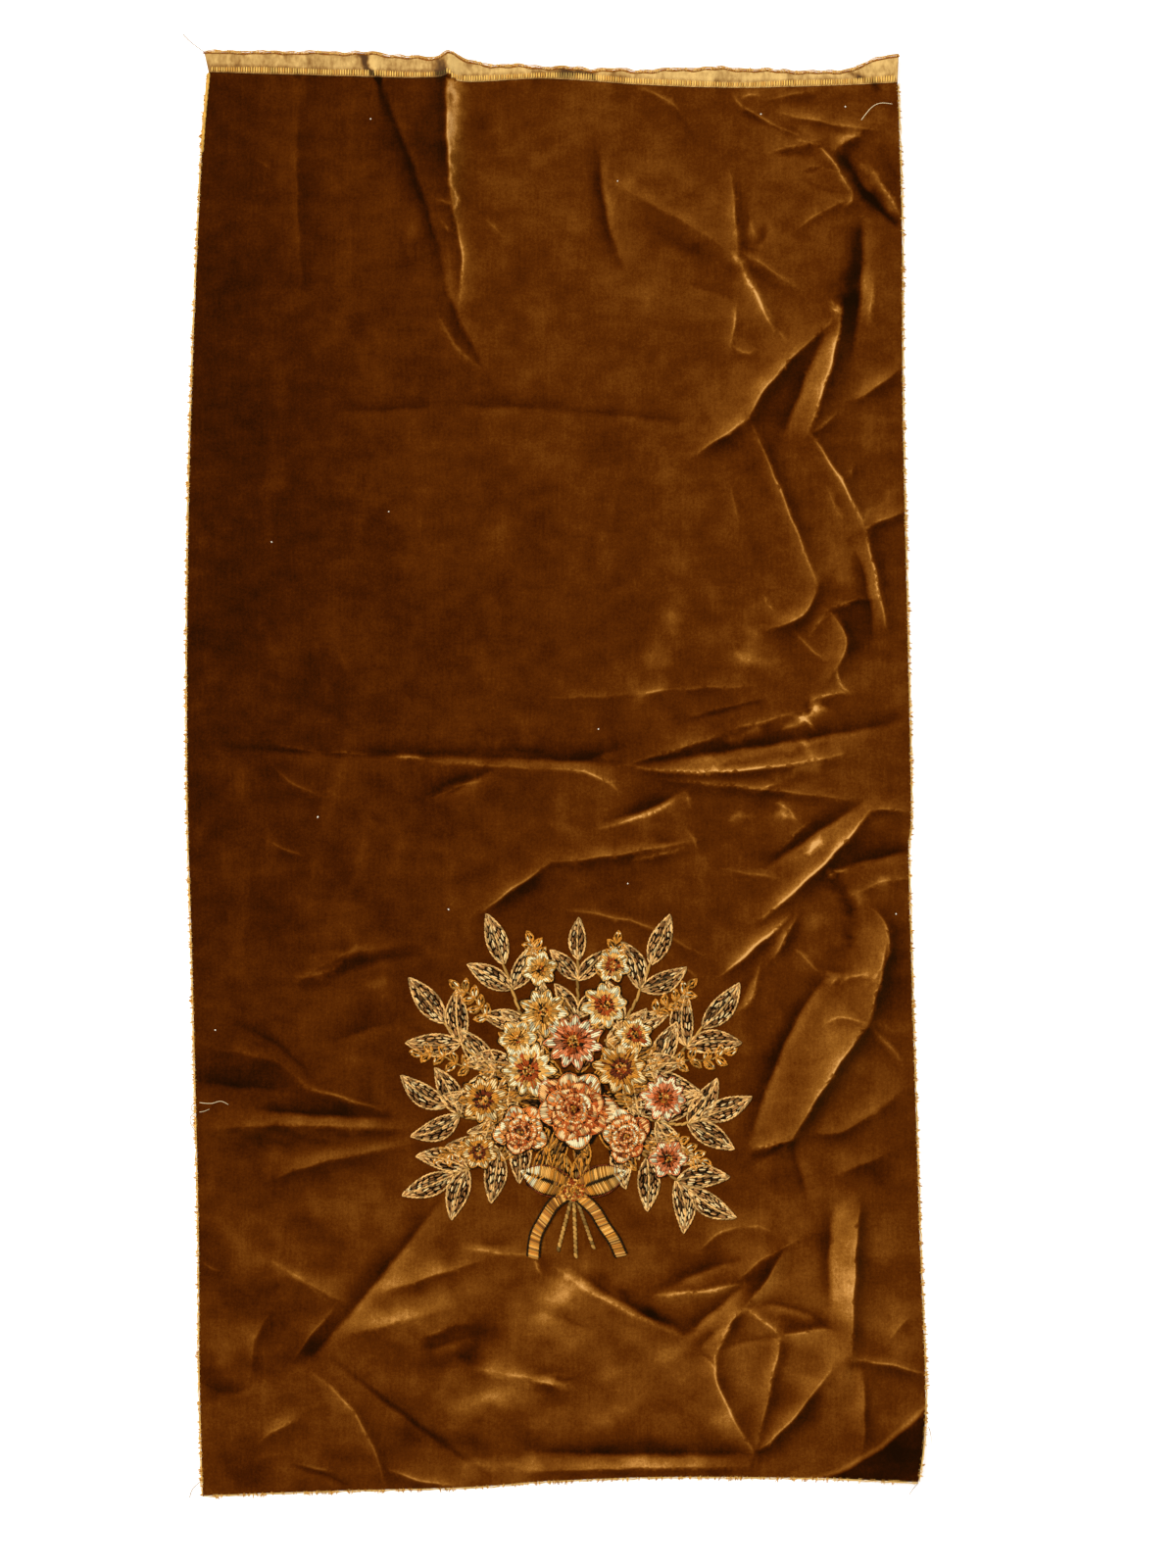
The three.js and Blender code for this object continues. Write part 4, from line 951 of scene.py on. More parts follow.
# One stitch: a slim ball with five sides, fuller in its two rings beside the middle one
STITCH_RINGS = (0.1, 0.9)
STITCH_FULLNESS = 1.2

bpy.ops.object.select_all(action="DESELECT")
bpy.ops.mesh.primitive_uv_sphere_add(segments=5, ring_count=4, radius=1)
stitch_form = bpy.context.object
for vertex in stitch_form.data.vertices:
    vertex.select = STITCH_RINGS[0] < abs(vertex.co.z) < STITCH_RINGS[1]
bpy.ops.object.mode_set(mode="EDIT")
bpy.ops.transform.resize(value=(STITCH_FULLNESS, STITCH_FULLNESS, 1))
bpy.ops.mesh.select_all(action="SELECT")
bpy.ops.mesh.quads_convert_to_tris()
bpy.ops.object.mode_set(mode="OBJECT")
form_points = np.array([tuple(vertex.co) for vertex in stitch_form.data.vertices])
form_faces = np.array(sorted(tuple(face.vertices) for face in stitch_form.data.polygons))
bpy.data.objects.remove(stitch_form)


class Needlework:
    """Stitches gathered for one piece, each with its two ends, width, height, bow and colour."""

    def __init__(self, seed, uneven=(0.36, 1.5)):
        self.rows = []
        self.uneven = uneven
        self.chance = np.random.default_rng(seed)

    def stitch(self, start, end, base, width, colour, height=THREAD_HEIGHT, bow=0.35):
        shade = linear(colour) * self.chance.uniform(*self.uneven)
        shade *= min(1, BRIGHTEST / shade.max())
        self.rows.append((*start, base, *end, base, width, height, bow, *shade))

    def rope(self, points, base, width, colour, slant=0.35):
        """Short slanting stitches that follow a line."""
        for start, end in zip(points[:-1], points[1:]):
            run = end - start
            lean = slant * width * np.array([-run[1], run[0]]) / max(np.hypot(*run), TINY)
            reach = ROPE_OVERLAP * run + lean
            self.stitch(start - reach, end + reach, base, width, colour)

    def piece(self, name, finish, slot):
        """One mesh of all the stitches, with their colours as an attribute."""
        rows = np.array(self.rows)
        start, run = rows[:, 0:3], rows[:, 3:6] - rows[:, 0:3]
        width, height, bow = (rows[:, i, None] for i in (6, 7, 8))
        side = np.column_stack([-run[:, 1], run[:, 0], 0 * run[:, 0]])
        side /= np.maximum(np.hypot(side[:, 0], side[:, 1]), TINY)[:, None]
        along = (form_points[:, 2] + 1) / 2
        place = start[:, None] + along[None, :, None] * run[:, None]
        place += (0.5 * width * form_points[None, :, 0])[..., None] * side[:, None]
        place[..., 2] += 0.5 * height * form_points[:, 1] + bow * 4 * along * (1 - along)
        first = np.arange(len(rows))[:, None, None] * len(form_points)
        return joined_mesh(
            name, place.reshape(-1, 3), (form_faces[None] + first).reshape(-1, 3),
            np.repeat(rows[:, 9:12], len(form_points), axis=0), finish, slot)


def joined_mesh(name, points, faces, colours, finish, slot):
    """One piece of the cloth from many threads, each in its colour, with every face turned outwards."""
    mesh = bpy.data.meshes.new(name)
    mesh.from_pydata((points * MM).tolist(), [], faces.tolist())
    mesh.polygons.foreach_set("use_smooth", [True] * len(faces))
    dye = mesh.attributes.new("thread_colour", "FLOAT_COLOR", "POINT")
    dye.data.foreach_set("color", np.column_stack([colours, np.ones(len(colours))]).ravel())
    mesh.materials.append(finish)
    piece = bpy.data.objects.new(name, mesh)
    bpy.context.collection.objects.link(piece)
    bpy.ops.object.select_all(action="DESELECT")
    piece.select_set(True)
    bpy.context.view_layer.objects.active = piece
    bpy.ops.object.mode_set(mode="EDIT")
    bpy.ops.mesh.select_all(action="SELECT")
    bpy.ops.mesh.normals_make_consistent(inside=False)
    bpy.ops.object.mode_set(mode="OBJECT")
    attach(piece, "root")
    return piece


# Strands in a thread: scale and detail of their noise, how far and to what tint they darken it, and their relief
STRANDS = (2600, 1)
STRAND_SHARE = 0.5
STRAND_SHADE = (0.35, 0.28, 0.2, 1)
STRAND_DEPTH = 0.3
STRAND_RELIEF = 0.4
THREAD_GLOSS = (1, 0.7, 0.3, 1)


def thread_finish(name, **constants):
    """Thread in its own colour, with a painted glow of that colour given off as emission."""
    material, shader, place = new_finish(name, Specular_Tint=THREAD_GLOSS, **constants)
    dye = place.node("ShaderNodeAttribute", {"attribute_name": "thread_colour"}, {})
    strand = place.noise(*STRANDS)
    shaded = strand.node(
        "ShaderNodeMix", {"data_type": "RGBA", "blend_type": "MULTIPLY"},
        {0: STRAND_SHARE * strand, 6: dye, 7: STRAND_SHADE}, output=2)
    set_wire(shader, "Base Color", shaded)
    # Painted glow: the thread gives off light in its own colour
    set_wire(shader, "Emission Color", dye)
    set_bump(shader, strand, STRAND_DEPTH * MM, STRAND_RELIEF)
    return material


# The silk has a faint painted glow
silk = thread_finish("embroidery_thread", Roughness=0.42, Specular_IOR_Level=0.2, Emission_Strength=0.15)


def turned(angle):
    """The direction at an angle, and the direction to its left."""
    return np.array([np.cos(angle), np.sin(angle)]), np.array([-np.sin(angle), np.cos(angle)])


# Leaves: powers that set where a leaf is widest and how full it is, and its curl as a share of its length
LEAF_SHOULDER = 0.85
LEAF_FULLNESS = 0.9
LEAF_CURL = 0.1
# The dark stitches under a leaf, which show between its stitches as painted shade, with their overlap along it
# and their spread across it
LEAF_UNDERLAYS = 3
UNDERLAY_OVERLAP = 0.1
UNDERLAY_SPREAD = 1.8
# Hatching: how near the margin it comes, where its rows start and end along the leaf, and the length,
# gap and drift of its stitches
HATCH_REACH = 0.84
HATCH_STARTS = (0.02, 0.1)
HATCH_LAST_START = 0.9
HATCH_END = 0.97
HATCH_LENGTHS = (4.0, 7.5)
HATCH_GAPS = (0.2, 1.4)
HATCH_DRIFT = 0.16
# The roped midrib and margin, and the levels at which a leaf's layers lie over its bed
ROPED_SPAN = (0.02, 0.99)
ROPED_PITCH = 3.4
HATCH_LEVEL = 0.5
MARGIN_LEVEL = 0.6
MIDRIB_LEVEL = 0.9


def leaf(work, root, angle, length, width, base, tints, margin):
    """A pointed leaf: a dark bed that shows as painted shade between its stitches, broken hatching that follows
    its margin, a midrib and a roped margin.
    """
    ahead, aside = turned(angle)
    curl = work.chance.uniform(-LEAF_CURL, LEAF_CURL) * length

    def at(along, across):
        half = 0.5 * width * np.sin(np.pi * along ** LEAF_SHOULDER) ** LEAF_FULLNESS
        return root + along * length * ahead + (across * half + 4 * curl * along * (along - 1)) * aside

    # Dark bed: it shows as painted shade in the gaps between stitches
    stops = np.linspace(0, 1, LEAF_UNDERLAYS + 1)
    for start, end in zip(stops[:-1], stops[1:]):
        middle = 0.5 * (start + end)
        spread = UNDERLAY_SPREAD * np.hypot(*(at(middle, 1) - at(middle, 0)))
        ends = at(max(start - UNDERLAY_OVERLAP, 0), 0), at(min(end + UNDERLAY_OVERLAP, 1), 0)
        work.stitch(*ends, base, spread, DARK, bow=0.1)
    for across in np.linspace(-HATCH_REACH, HATCH_REACH, max(3, round(width / HATCH_PITCH))):
        along = work.chance.uniform(*HATCH_STARTS)
        while along < HATCH_LAST_START:
            reach = min(along + work.chance.uniform(*HATCH_LENGTHS) / length, HATCH_END)
            drift = work.chance.uniform(-HATCH_DRIFT, HATCH_DRIFT)
            tint = tints[work.chance.integers(len(tints))]
            work.stitch(at(along, across), at(reach, across + drift), base + HATCH_LEVEL, HATCH_WIDTH, tint)
            along = reach + work.chance.uniform(*HATCH_GAPS) / length
    shares = np.linspace(*ROPED_SPAN, max(6, round(length / ROPED_PITCH)))
    work.rope([at(share, 0) for share in shares[:-1]], base + MIDRIB_LEVEL, HATCH_WIDTH, margin)
    for side in (-1, 1):
        work.rope([at(share, side) for share in shares], base + MARGIN_LEVEL, HATCH_WIDTH, margin)


# Petals: where on a half wave a petal's width starts and how much of it it takes, and how round its tip is
PETAL_SPAN = (0.1, 0.54)
TIP_ROUNDING = 0.4
PETAL_UNDERLAY = (1.02, 1.2)
# The dark outline, painted shade round the petal, and the roped rim: places along and across on each
# side, then how far over the tip, how far across and in how many points
OUTLINE_SIDES = ((0.3, 1.2), (0.7, 1.25))
OUTLINE_TIP = (1.12, 1.2, 6)
OUTLINE_LEVEL = 0.2
RIM_SIDES = ((0.5, 1), (0.78, 1))
RIM_TIP = (1.02, 1, 7)
RIM_LEVEL = 0.5
RIM_THREAD = 0.85
# Satin stitches: how near the sides they come, where root and body stitches end, their overlap, and for
# root, body and tip the share in the tint before its own, the level, the thread's width and the bow
SATIN_REACH = 0.82
ROOT_ENDS = (0.14, 0.36)
BODY_ENDS = (0.45, 0.7)
SATIN_OVERLAP = 0.1
SATIN_ROWS = ((0.2, 0.5, HATCH_WIDTH, 0.2), (0.15, 0.58, SATIN_WIDTH, 0.25), (0.2, 0.66, SATIN_WIDTH, 0.25))


def petal(work, middle, angle, inner, outer, width, base, tints):
    """A satin petal on a dark bed inside a dark outline, both painted shade in the gaps round it, in root, body
    and tip stitches of uneven length, with a roped rim.
    """
    ahead, aside = turned(angle)

    def at(along, across):
        half = 0.5 * width * arch(along, PETAL_SPAN)
        reach = inner + (outer - inner) * along * (1 - TIP_ROUNDING * across ** 2)
        return middle + reach * ahead + across * half * aside

    def round_tip(sides, tip):
        """Points up one side, over the tip and down the other side."""
        over, spread, count = tip
        up = [at(along, -across) for along, across in sides]
        down = [at(along, across) for along, across in reversed(sides)]
        return [*up, *(at(over, across) for across in np.linspace(-spread, spread, count)), *down]

    # Dark bed and outline: painted shade in the gaps under and round the petal
    reach, spread = PETAL_UNDERLAY
    work.stitch(at(0, 0), at(reach, 0), base, spread * width, DARK, bow=0.2)
    work.rope(round_tip(OUTLINE_SIDES, OUTLINE_TIP), base + OUTLINE_LEVEL, HATCH_WIDTH, DARK)
    for across in np.linspace(-SATIN_REACH, SATIN_REACH, max(3, round(width / SATIN_PITCH))):
        first, second = work.chance.uniform(*ROOT_ENDS), work.chance.uniform(*BODY_ENDS)
        starts = (0, first, second)
        ends = (first + SATIN_OVERLAP, second + SATIN_OVERLAP, 1)
        for start, end, row, before, tint in zip(starts, ends, SATIN_ROWS, (DARK, *tints), tints):
            strays, level, thread, bow = row
            shade = before if work.chance.random() < strays else tint
            work.stitch(at(start, across), at(end, across), base + level, thread, shade, bow=bow)
    work.rope(round_tip(RIM_SIDES, RIM_TIP), base + RIM_LEVEL, RIM_THREAD * HATCH_WIDTH, tints[1])


# French knots: size, height, and the pitch of rings and of knots on a ring as shares of the size
KNOT_SIZE = 1.9
KNOT_HEIGHT = 1.5
RING_PITCH = 0.85
KNOT_PITCH = 0.95


def knots(work, middle, radius, base, tints):
    """French knots packed in rings."""
    for ring in np.arange(radius - 0.5 * KNOT_SIZE, 0, -RING_PITCH * KNOT_SIZE):
        count = max(1, round(2 * np.pi * ring / (KNOT_PITCH * KNOT_SIZE)))
        for i in range(count):
            ahead, _ = turned(2 * np.pi * (i + 0.5 * (ring % 2)) / count)
            place, reach = middle + ring * ahead, 0.5 * KNOT_SIZE * ahead
            tint = tints[work.chance.integers(len(tints))]
            work.stitch(place - reach, place + reach, base, KNOT_SIZE, tint, height=KNOT_HEIGHT, bow=0.1)


# The bed leaves: small leaves in olive and gold silk that fill the ground under the flowers, sewn first
# and in rings. Each ring has its distance from the bed's middle and its count of leaves.
BED_MIDDLE = np.array([0.0, -4.0])
BED_RINGS = ((20, 9), (36, 14), (52, 19))
BED_SPIN = 0.15
BED_LEAN = 0.3
BED_LEAF = (35, 15)
BED_TINTS = (OLIVE, GOLD, GREY_BROWN, (116, 74, 28), (84, 48, 18))

leaves = Needlework(11)
for ring, count in BED_RINGS:
    for i in range(count):
        angle = 2 * np.pi * i / count + leaves.chance.uniform(-BED_SPIN, BED_SPIN)
        root = SPRAY_MIDDLE + BED_MIDDLE + ring * turned(angle)[0]
        lean = leaves.chance.uniform(-BED_LEAN, BED_LEAN)
        leaf(leaves, root, angle + lean, *BED_LEAF, BASE, BED_TINTS, GOLD)
bed_leaves = leaves.piece("bed_leaves", silk, "embroidery_thread")

# The leaf sprays: long leaves in pairs on roped stems that bend out of the bouquet, sewn onto the pile.
# Each row has its bending point and tip from the middle, and the length of its leaves.
SPRAYS = [
    ((-40, 40), (-62, 112), 48), ((-70, 0), (-114, 60), 52), ((-80, -40), (-112, -14), 50),
    ((-70, -60), (-106, -74), 50), ((4, 60), (4, 116), 38), ((40, 40), (68, 112), 48), ((70, 0), (114, 56), 52),
    ((80, -40), (112, -24), 50), ((70, -66), (102, -86), 50),
]
SPRAY_FROM = 0.4
BEND_SHARES = (0.5, 0.35)
SPRAY_STEM = 1.6 * THREAD_WIDTH
STEM_LEVEL = BASE + 0.5
LEAF_PAIRS = (0.12, 0.45, 0.8)
LEAF_LEAN = 0.75
SIDE_LEAF = 0.95
LEAF_SLIMNESS = 0.38
LEAF_TINTS = (GREY_BROWN, (190, 138, 78), (224, 176, 108), (112, 70, 32), (252, 216, 148), (160, 108, 56))
LEAF_RIM = (220, 170, 98)

sprays = Needlework(12)
for bend, tip, length in SPRAYS:
    bend, tip = np.array([bend, tip], float)
    path = SPRAY_MIDDLE + fold_path(SPRAY_FROM * tip, BEND_SHARES[0] * bend + BEND_SHARES[1] * tip, tip)
    sprays.rope(path, STEM_LEVEL, SPRAY_STEM, OLIVE)
    leaf_width = LEAF_SLIMNESS * length
    for share in LEAF_PAIRS:
        step = round(share * FOLD_SEGMENTS)
        run = path[step] - path[step - 1]
        for side in (-1, 1):
            turn = math.atan2(run[1], run[0]) + side * LEAF_LEAN
            leaf(sprays, path[step], turn, SIDE_LEAF * length, leaf_width, BASE, LEAF_TINTS, LEAF_RIM)
    heading = path[-1] - path[-3]
    facing = math.atan2(heading[1], heading[0])
    leaf(sprays, path[-1], facing, length, leaf_width, BASE, LEAF_TINTS, LEAF_RIM)
spray_leaves = sprays.piece("spray_leaves", silk, "embroidery_thread")

# The bud sprigs: thin roped stems between the sprays, with small pointed buds of pale silk in pairs.
# Each row has a direction in degrees, and where its stem starts and ends from the middle.
SPRIGS = [
    (14, 84, 138), (166, 84, 138), (74, 96, 136), (106, 96, 136), (42, 92, 136), (138, 92, 136), (-28, 84, 128),
    (208, 84, 128),
]
SPRIG_POINTS = 15
SPRIG_WAVER = 2.5
SPRIG_TURNS = 0.14
BUD_EVERY = 3
BUD_LEAN = 0.9
BUD_SIZE = (12, 6.5)
BUD_TINTS = (CREAM, PALE_GOLD, GOLD)

buds = Needlework(16)
for degrees, near, far in SPRIGS:
    heading = math.radians(degrees)
    ahead, aside = turned(heading)
    stem = [
        SPRAY_MIDDLE + reach * ahead + SPRIG_WAVER * math.sin(SPRIG_TURNS * reach) * aside
        for reach in np.linspace(near, far, SPRIG_POINTS)
    ]
    buds.rope(stem, STEM_LEVEL, HATCH_WIDTH, OLIVE)
    leaf(buds, stem[-1], heading, *BUD_SIZE, BASE, BUD_TINTS, GOLD)
    for place in stem[BUD_EVERY:-1:BUD_EVERY]:
        for side in (-1, 1):
            leaf(buds, place, heading + side * BUD_LEAN, *BUD_SIZE, BASE, BUD_TINTS, GOLD)
bud_sprigs = buds.piece("bud_sprigs", silk, "embroidery_thread")

# The small flowers: one ring of satin petals round an eye of knots, in gold, cream and rust silk, sewn over
# the leaves. Each row has its middle, radius and number of petals.
FLOWERS = [
    (-40, 18, 23, 10), (42, 20, 23, 9), (0, 44, 24, 11), (-27, 70, 20, 9), (28, 76, 20, 8), (-80, -8, 20, 9),
    (80, -6, 20, 10), (-50, 46, 16, 6), (54, 50, 16, 7), (-84, -54, 16, 7), (84, -60, 16, 6), (-30, 108, 15, 6),
    (35, 112, 15, 7),
]
FLOWER_TINTS = (
    (RUST, PALE_GOLD, CREAM), (DEEP_RUST, GOLD, (244, 208, 140)),
    (RUST, ROSE_PINK, CREAM), (GOLD, PALE_GOLD, CREAM),
)
# A petal takes this share of its room, starts at this share of the radius and ends between these. Each
# flower is turned a little further than the one before
PETAL_SHARE = 0.74
PETAL_INNER = 0.2
PETAL_OUTER = (0.92, 1.1)
FLOWER_TURN = 0.3
FLOWER_LEVEL = BASE + 0.7
EYE_SHARE = 0.24
EYE_LEVEL = BASE + 1.7
EYE_TINTS = (GOLD, DARK, PALE_GOLD, RUST)

blossoms = Needlework(13)
for number, (x, y, radius, count) in enumerate(FLOWERS):
    middle = SPRAY_MIDDLE + (x, y)
    tints = FLOWER_TINTS[number % len(FLOWER_TINTS)]
    width = PETAL_SHARE * 2 * radius * math.sin(math.pi / count)
    for i in range(count):
        angle = 2 * math.pi * (i + FLOWER_TURN * number) / count
        reach = radius * blossoms.chance.uniform(*PETAL_OUTER)
        petal(blossoms, middle, angle, PETAL_INNER * radius, reach, width, FLOWER_LEVEL, tints)
    knots(blossoms, middle, EYE_SHARE * radius, EYE_LEVEL, EYE_TINTS)
flower_petals = blossoms.piece("flower_petals", silk, "embroidery_thread")

# The roses: overlapping satin petals that wind inwards and rise to a heart of knots, sewn over the leaves.
# Each row has its middle, radius and number of petals, which turn by the golden angle.
ROSES = [(0, -16, 38, 26), (-47, -36, 26, 19), (47, -40, 26, 19)]
GOLDEN_ANGLE = math.pi * (3 - math.sqrt(5))
ROSE_TINTS = (
    (DEEP_RUST, (204, 112, 44), (252, 214, 150)), (RUST, (218, 138, 64), CREAM),
    (DEEP_RUST, (178, 82, 30), (242, 182, 108)),
)
# Shares of a rose's radius that its innermost petals reach out and across, and what the outermost add
ROSE_OUTER = (0.12, 0.88)
ROSE_WIDTH = (0.34, 0.36)
ROSE_INNER = 0.42
ROSE_UNEVEN = (0.92, 1.06)
ROSE_SWAY = 0.12
ROSE_LEVEL = BASE + 0.8
ROSE_CROWN = 1.6
HEART_SHARE = 0.09
HEART_LEVEL = BASE + 3.0
HEART_TINTS = (DEEP_RUST, GOLD)

roses = Needlework(14)
for number, (x, y, radius, count) in enumerate(ROSES):
    middle = SPRAY_MIDDLE + (x, y)
    for i in range(count):
        share = 1 - i / count
        outer = radius * (ROSE_OUTER[0] + ROSE_OUTER[1] * share) * roses.chance.uniform(*ROSE_UNEVEN)
        width = radius * (ROSE_WIDTH[0] + ROSE_WIDTH[1] * share)
        angle = GOLDEN_ANGLE * i + number + roses.chance.uniform(-ROSE_SWAY, ROSE_SWAY)
        tints = ROSE_TINTS[roses.chance.integers(len(ROSE_TINTS))]
        level = ROSE_LEVEL + ROSE_CROWN * (1 - share)
        petal(roses, middle, angle, ROSE_INNER * outer, outer, width, level, tints)
    knots(roses, middle, HEART_SHARE * radius, HEART_LEVEL, HEART_TINTS)
rose_petals = roses.piece("rose_petals", silk, "embroidery_thread")

# The bow: a ribbon's knot, loops and tails in satin stitch across its width, sewn over the roped stems,
# whose cut ends stand out below it. Its places are from the middle too.
BOW_KNOT = SPRAY_MIDDLE + (0, -88)
KNOT_RADIUS = 10
KNOT_LEVEL = BASE + 1.6
STEM_ENDS = ((-14, -142), (2, -148), (18, -140))
STEM_POINTS = 16
CUT_STEM = 1.9 * THREAD_WIDTH
RIBBON_TINTS = ((150, 92, 36), GOLD, PALE_GOLD, CREAM)
# Tails: bending point and end from the middle, the pitch and slant of the satin, and its roped margin
BOW_TAILS = (((-26, -112), (-36, -148)), ((24, -114), (42, -146)))
TAIL_WIDTH = 11
TAIL_PITCH = 1.15
TAIL_SLANT = 1.2
TAIL_TINTS = 3
TAIL_LEVEL = BASE + 0.7
TAIL_MARGIN = BASE + 0.9
MARGIN_EVERY = 3
# Loops: direction, size, the share of the length at which the satin starts, where on a half wave the width
# starts and how much it takes, and powers that set how full the loop is and how blunt its end
BOW_LOOPS = (math.radians(160), math.radians(20))
LOOP_LENGTH = 48
LOOP_WIDTH = 25
LOOP_STITCHES = 34
LOOP_FROM = 0.04
LOOP_SPAN = (0.1, 0.78)
LOOP_FULLNESS = 0.8
LOOP_BLUNTNESS = 8
LOOP_PARTING = 0.8
LOOP_SLANT = 2.0
LOOP_THREAD = 1.35
LOOP_LEVEL = BASE + 1.0
TINT_SPREAD = 1.2
UNDER_LOOP = BASE + 0.3
LOOP_ROPE = 1.1
ROPE_OUTSET = 0.7
ROPE_LEVEL = BASE + 0.8
ROPE_EVERY = 2

ribbon = Needlework(15)
for end in STEM_ENDS:
    run = SPRAY_MIDDLE + end - BOW_KNOT
    stem = [BOW_KNOT + share * run for share in np.linspace(0, 1, STEM_POINTS)]
    ribbon.rope(stem, STEM_LEVEL, CUT_STEM, OLIVE)
for tail in BOW_TAILS:
    path = smooth_line(fold_path(BOW_KNOT, *(SPRAY_MIDDLE + np.array(tail))), TAIL_PITCH)
    run = np.gradient(path, axis=0)
    for place, ahead in zip(path, run / np.hypot(run[:, 0], run[:, 1])[:, None]):
        aside = 0.5 * TAIL_WIDTH * np.array([-ahead[1], ahead[0]]) + TAIL_SLANT * ahead
        tint = RIBBON_TINTS[ribbon.chance.integers(TAIL_TINTS)]
        ribbon.stitch(place - aside, place + aside, TAIL_LEVEL, THREAD_WIDTH, tint)
    for side in (-1, 1):
        margin = path + side * 0.5 * TAIL_WIDTH * np.column_stack([-run[:, 1], run[:, 0]]) / TAIL_PITCH
        ribbon.rope(margin[::MARGIN_EVERY], TAIL_MARGIN, THREAD_WIDTH, DARK)
for loop in BOW_LOOPS:
    ahead, aside = turned(loop)
    shares = np.linspace(LOOP_FROM, 1, LOOP_STITCHES)
    half = 0.5 * LOOP_WIDTH * arch(shares, LOOP_SPAN) ** LOOP_FULLNESS * (1 - shares ** LOOP_BLUNTNESS)
    spine = [BOW_KNOT + share * LOOP_LENGTH * ahead for share in shares]
    # Dark stitch under the loop, showing in its parting as painted shade of the ribbon's fold
    ribbon.stitch(BOW_KNOT, spine[-1], UNDER_LOOP, LOOP_WIDTH, DARK, height=1.0, bow=0.2)
    for share, place, reach in zip(shares, spine, half):
        lightest = len(RIBBON_TINTS) - 1
        tint = RIBBON_TINTS[min(int(lightest * share + ribbon.chance.uniform(0, TINT_SPREAD)), lightest)]
        for side in (-1, 1):
            start = place + side * LOOP_PARTING * aside
            end = place + side * reach * aside + LOOP_SLANT * ahead
            ribbon.stitch(start, end, LOOP_LEVEL, LOOP_THREAD, tint)
    for side in (-1, 1):
        margin = [place + side * (reach + ROPE_OUTSET) * aside for place, reach in zip(spine, half)]
        ribbon.rope(margin[::ROPE_EVERY], ROPE_LEVEL, LOOP_ROPE, DEEP_RUST)
knots(ribbon, BOW_KNOT, KNOT_RADIUS, KNOT_LEVEL, (GOLD, PALE_GOLD, RUST))
tied_bow = ribbon.piece("tied_bow", silk, "embroidery_thread")
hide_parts("embroidered_bouquet")

# The cut edges: the ground weave ravels on both long sides and along the bottom, so that tan thread
# ends stand out of it and a few loose threads lie along the bare margin.
FRAY_TINTS = ((226, 168, 78), (200, 140, 54), (240, 200, 116), (172, 112, 38))
DYE_UNEVEN = (0.75, 1.2)
# Fibres stand in spikes. The shortest spike is this share of the longest, and the power makes long ones rare
FIBRE_RADIUS = 0.45
FIBRE_POINTS = 4
FIBRE_TIP = 0.5
SPIKE_FIBRES = 4
SHORTEST_SPIKE = 0.3
LONG_RARE = 1.4
# How far a spike leans and spreads at its root and tip, how deep it is rooted, how far a fibre may fall
# short of the tip and bend, and how high it leaves the cloth and sinks
SPIKE_LEAN = 0.3
ROOT_SPREAD = 0.7
TIP_SPREAD = 0.3
ROOT_DEPTH = 0.9
FIBRE_SHORT = 0.5
FIBRE_BEND = 1.2
LEAVING_HEIGHTS = (1.2, 2.1)
TIP_DROP = 0.4
LOWEST_FIBRE = 0.4
# Ground threads that came loose along the edge: how far out and how high they lie, and how they waver
LOOSENED = ((0.3, 1.6), (0.9, 1.2), (1.5, 0.9))
LOOSENED_RADIUS = 0.8 * FIBRE_RADIUS
LOOSENED_WAVER = 0.6
LOOSENED_TURNS = ((1.9, 7), (0.37, 5))


def along_line(line, stops):
    """Plan points at stops along a line, counted in the line's own points."""
    return np.column_stack([np.interp(stops, np.arange(len(line)), line[:, axis]) for axis in (0, 1)])


# Threads have three sides, one corner on top. Their sides are set out from a direction that is almost upright
THREAD_CORNERS = 0.5 * math.pi + 2 * math.pi / 3 * np.arange(3)
ALMOST_UP = (0.03, 0.02, 1.0)


def thread_tubes(bundles):
    """Points, faces and colours of threads: each bundle has lines, a radius, a tip share and line colours."""
    points, faces, colours = [], [], []
    first = 0
    for lines, radius, tip, tints in bundles:
        count, length, _ = lines.shape
        run = np.gradient(lines, axis=1)
        run /= np.maximum(np.linalg.norm(run, axis=2, keepdims=True), TINY)
        aside = np.cross(run, ALMOST_UP)
        aside /= np.maximum(np.linalg.norm(aside, axis=2, keepdims=True), TINY)
        above = np.cross(aside, run)
        thick = radius * np.linspace(1, tip, length)[None, :, None]
        corners = [lines + thick * (math.cos(turn) * aside + math.sin(turn) * above) for turn in THREAD_CORNERS]
        points.append(np.stack(corners, axis=2).reshape(-1, 3))
        ring = 3 * np.arange(length - 1)[:, None]
        walls = []
        for i in range(3):
            this, following = ring + i, ring + (i + 1) % 3
            walls.append(np.hstack([this, following, following + 3, this, following + 3, this + 3]))
        last = 3 * (length - 1)
        shell = np.vstack([np.vstack(walls).reshape(-1, 3), [(0, 2, 1), (last, last + 1, last + 2)]])
        starts = first + 3 * length * np.arange(count)[:, None, None]
        faces.append((shell[None] + starts).reshape(-1, 3))
        colours.append(np.repeat(tints, 3 * length, axis=0))
        first += 3 * length * count
    return np.vstack(points), np.vstack(faces), np.vstack(colours)


def dyed(chance, count, tints):
    """A colour for each of a count of threads, picked from the tints and a little uneven."""
    shades = linear(tints)[chance.integers(len(tints), size=count)]
    return shades * chance.uniform(*DYE_UNEVEN, size=(count, 1))


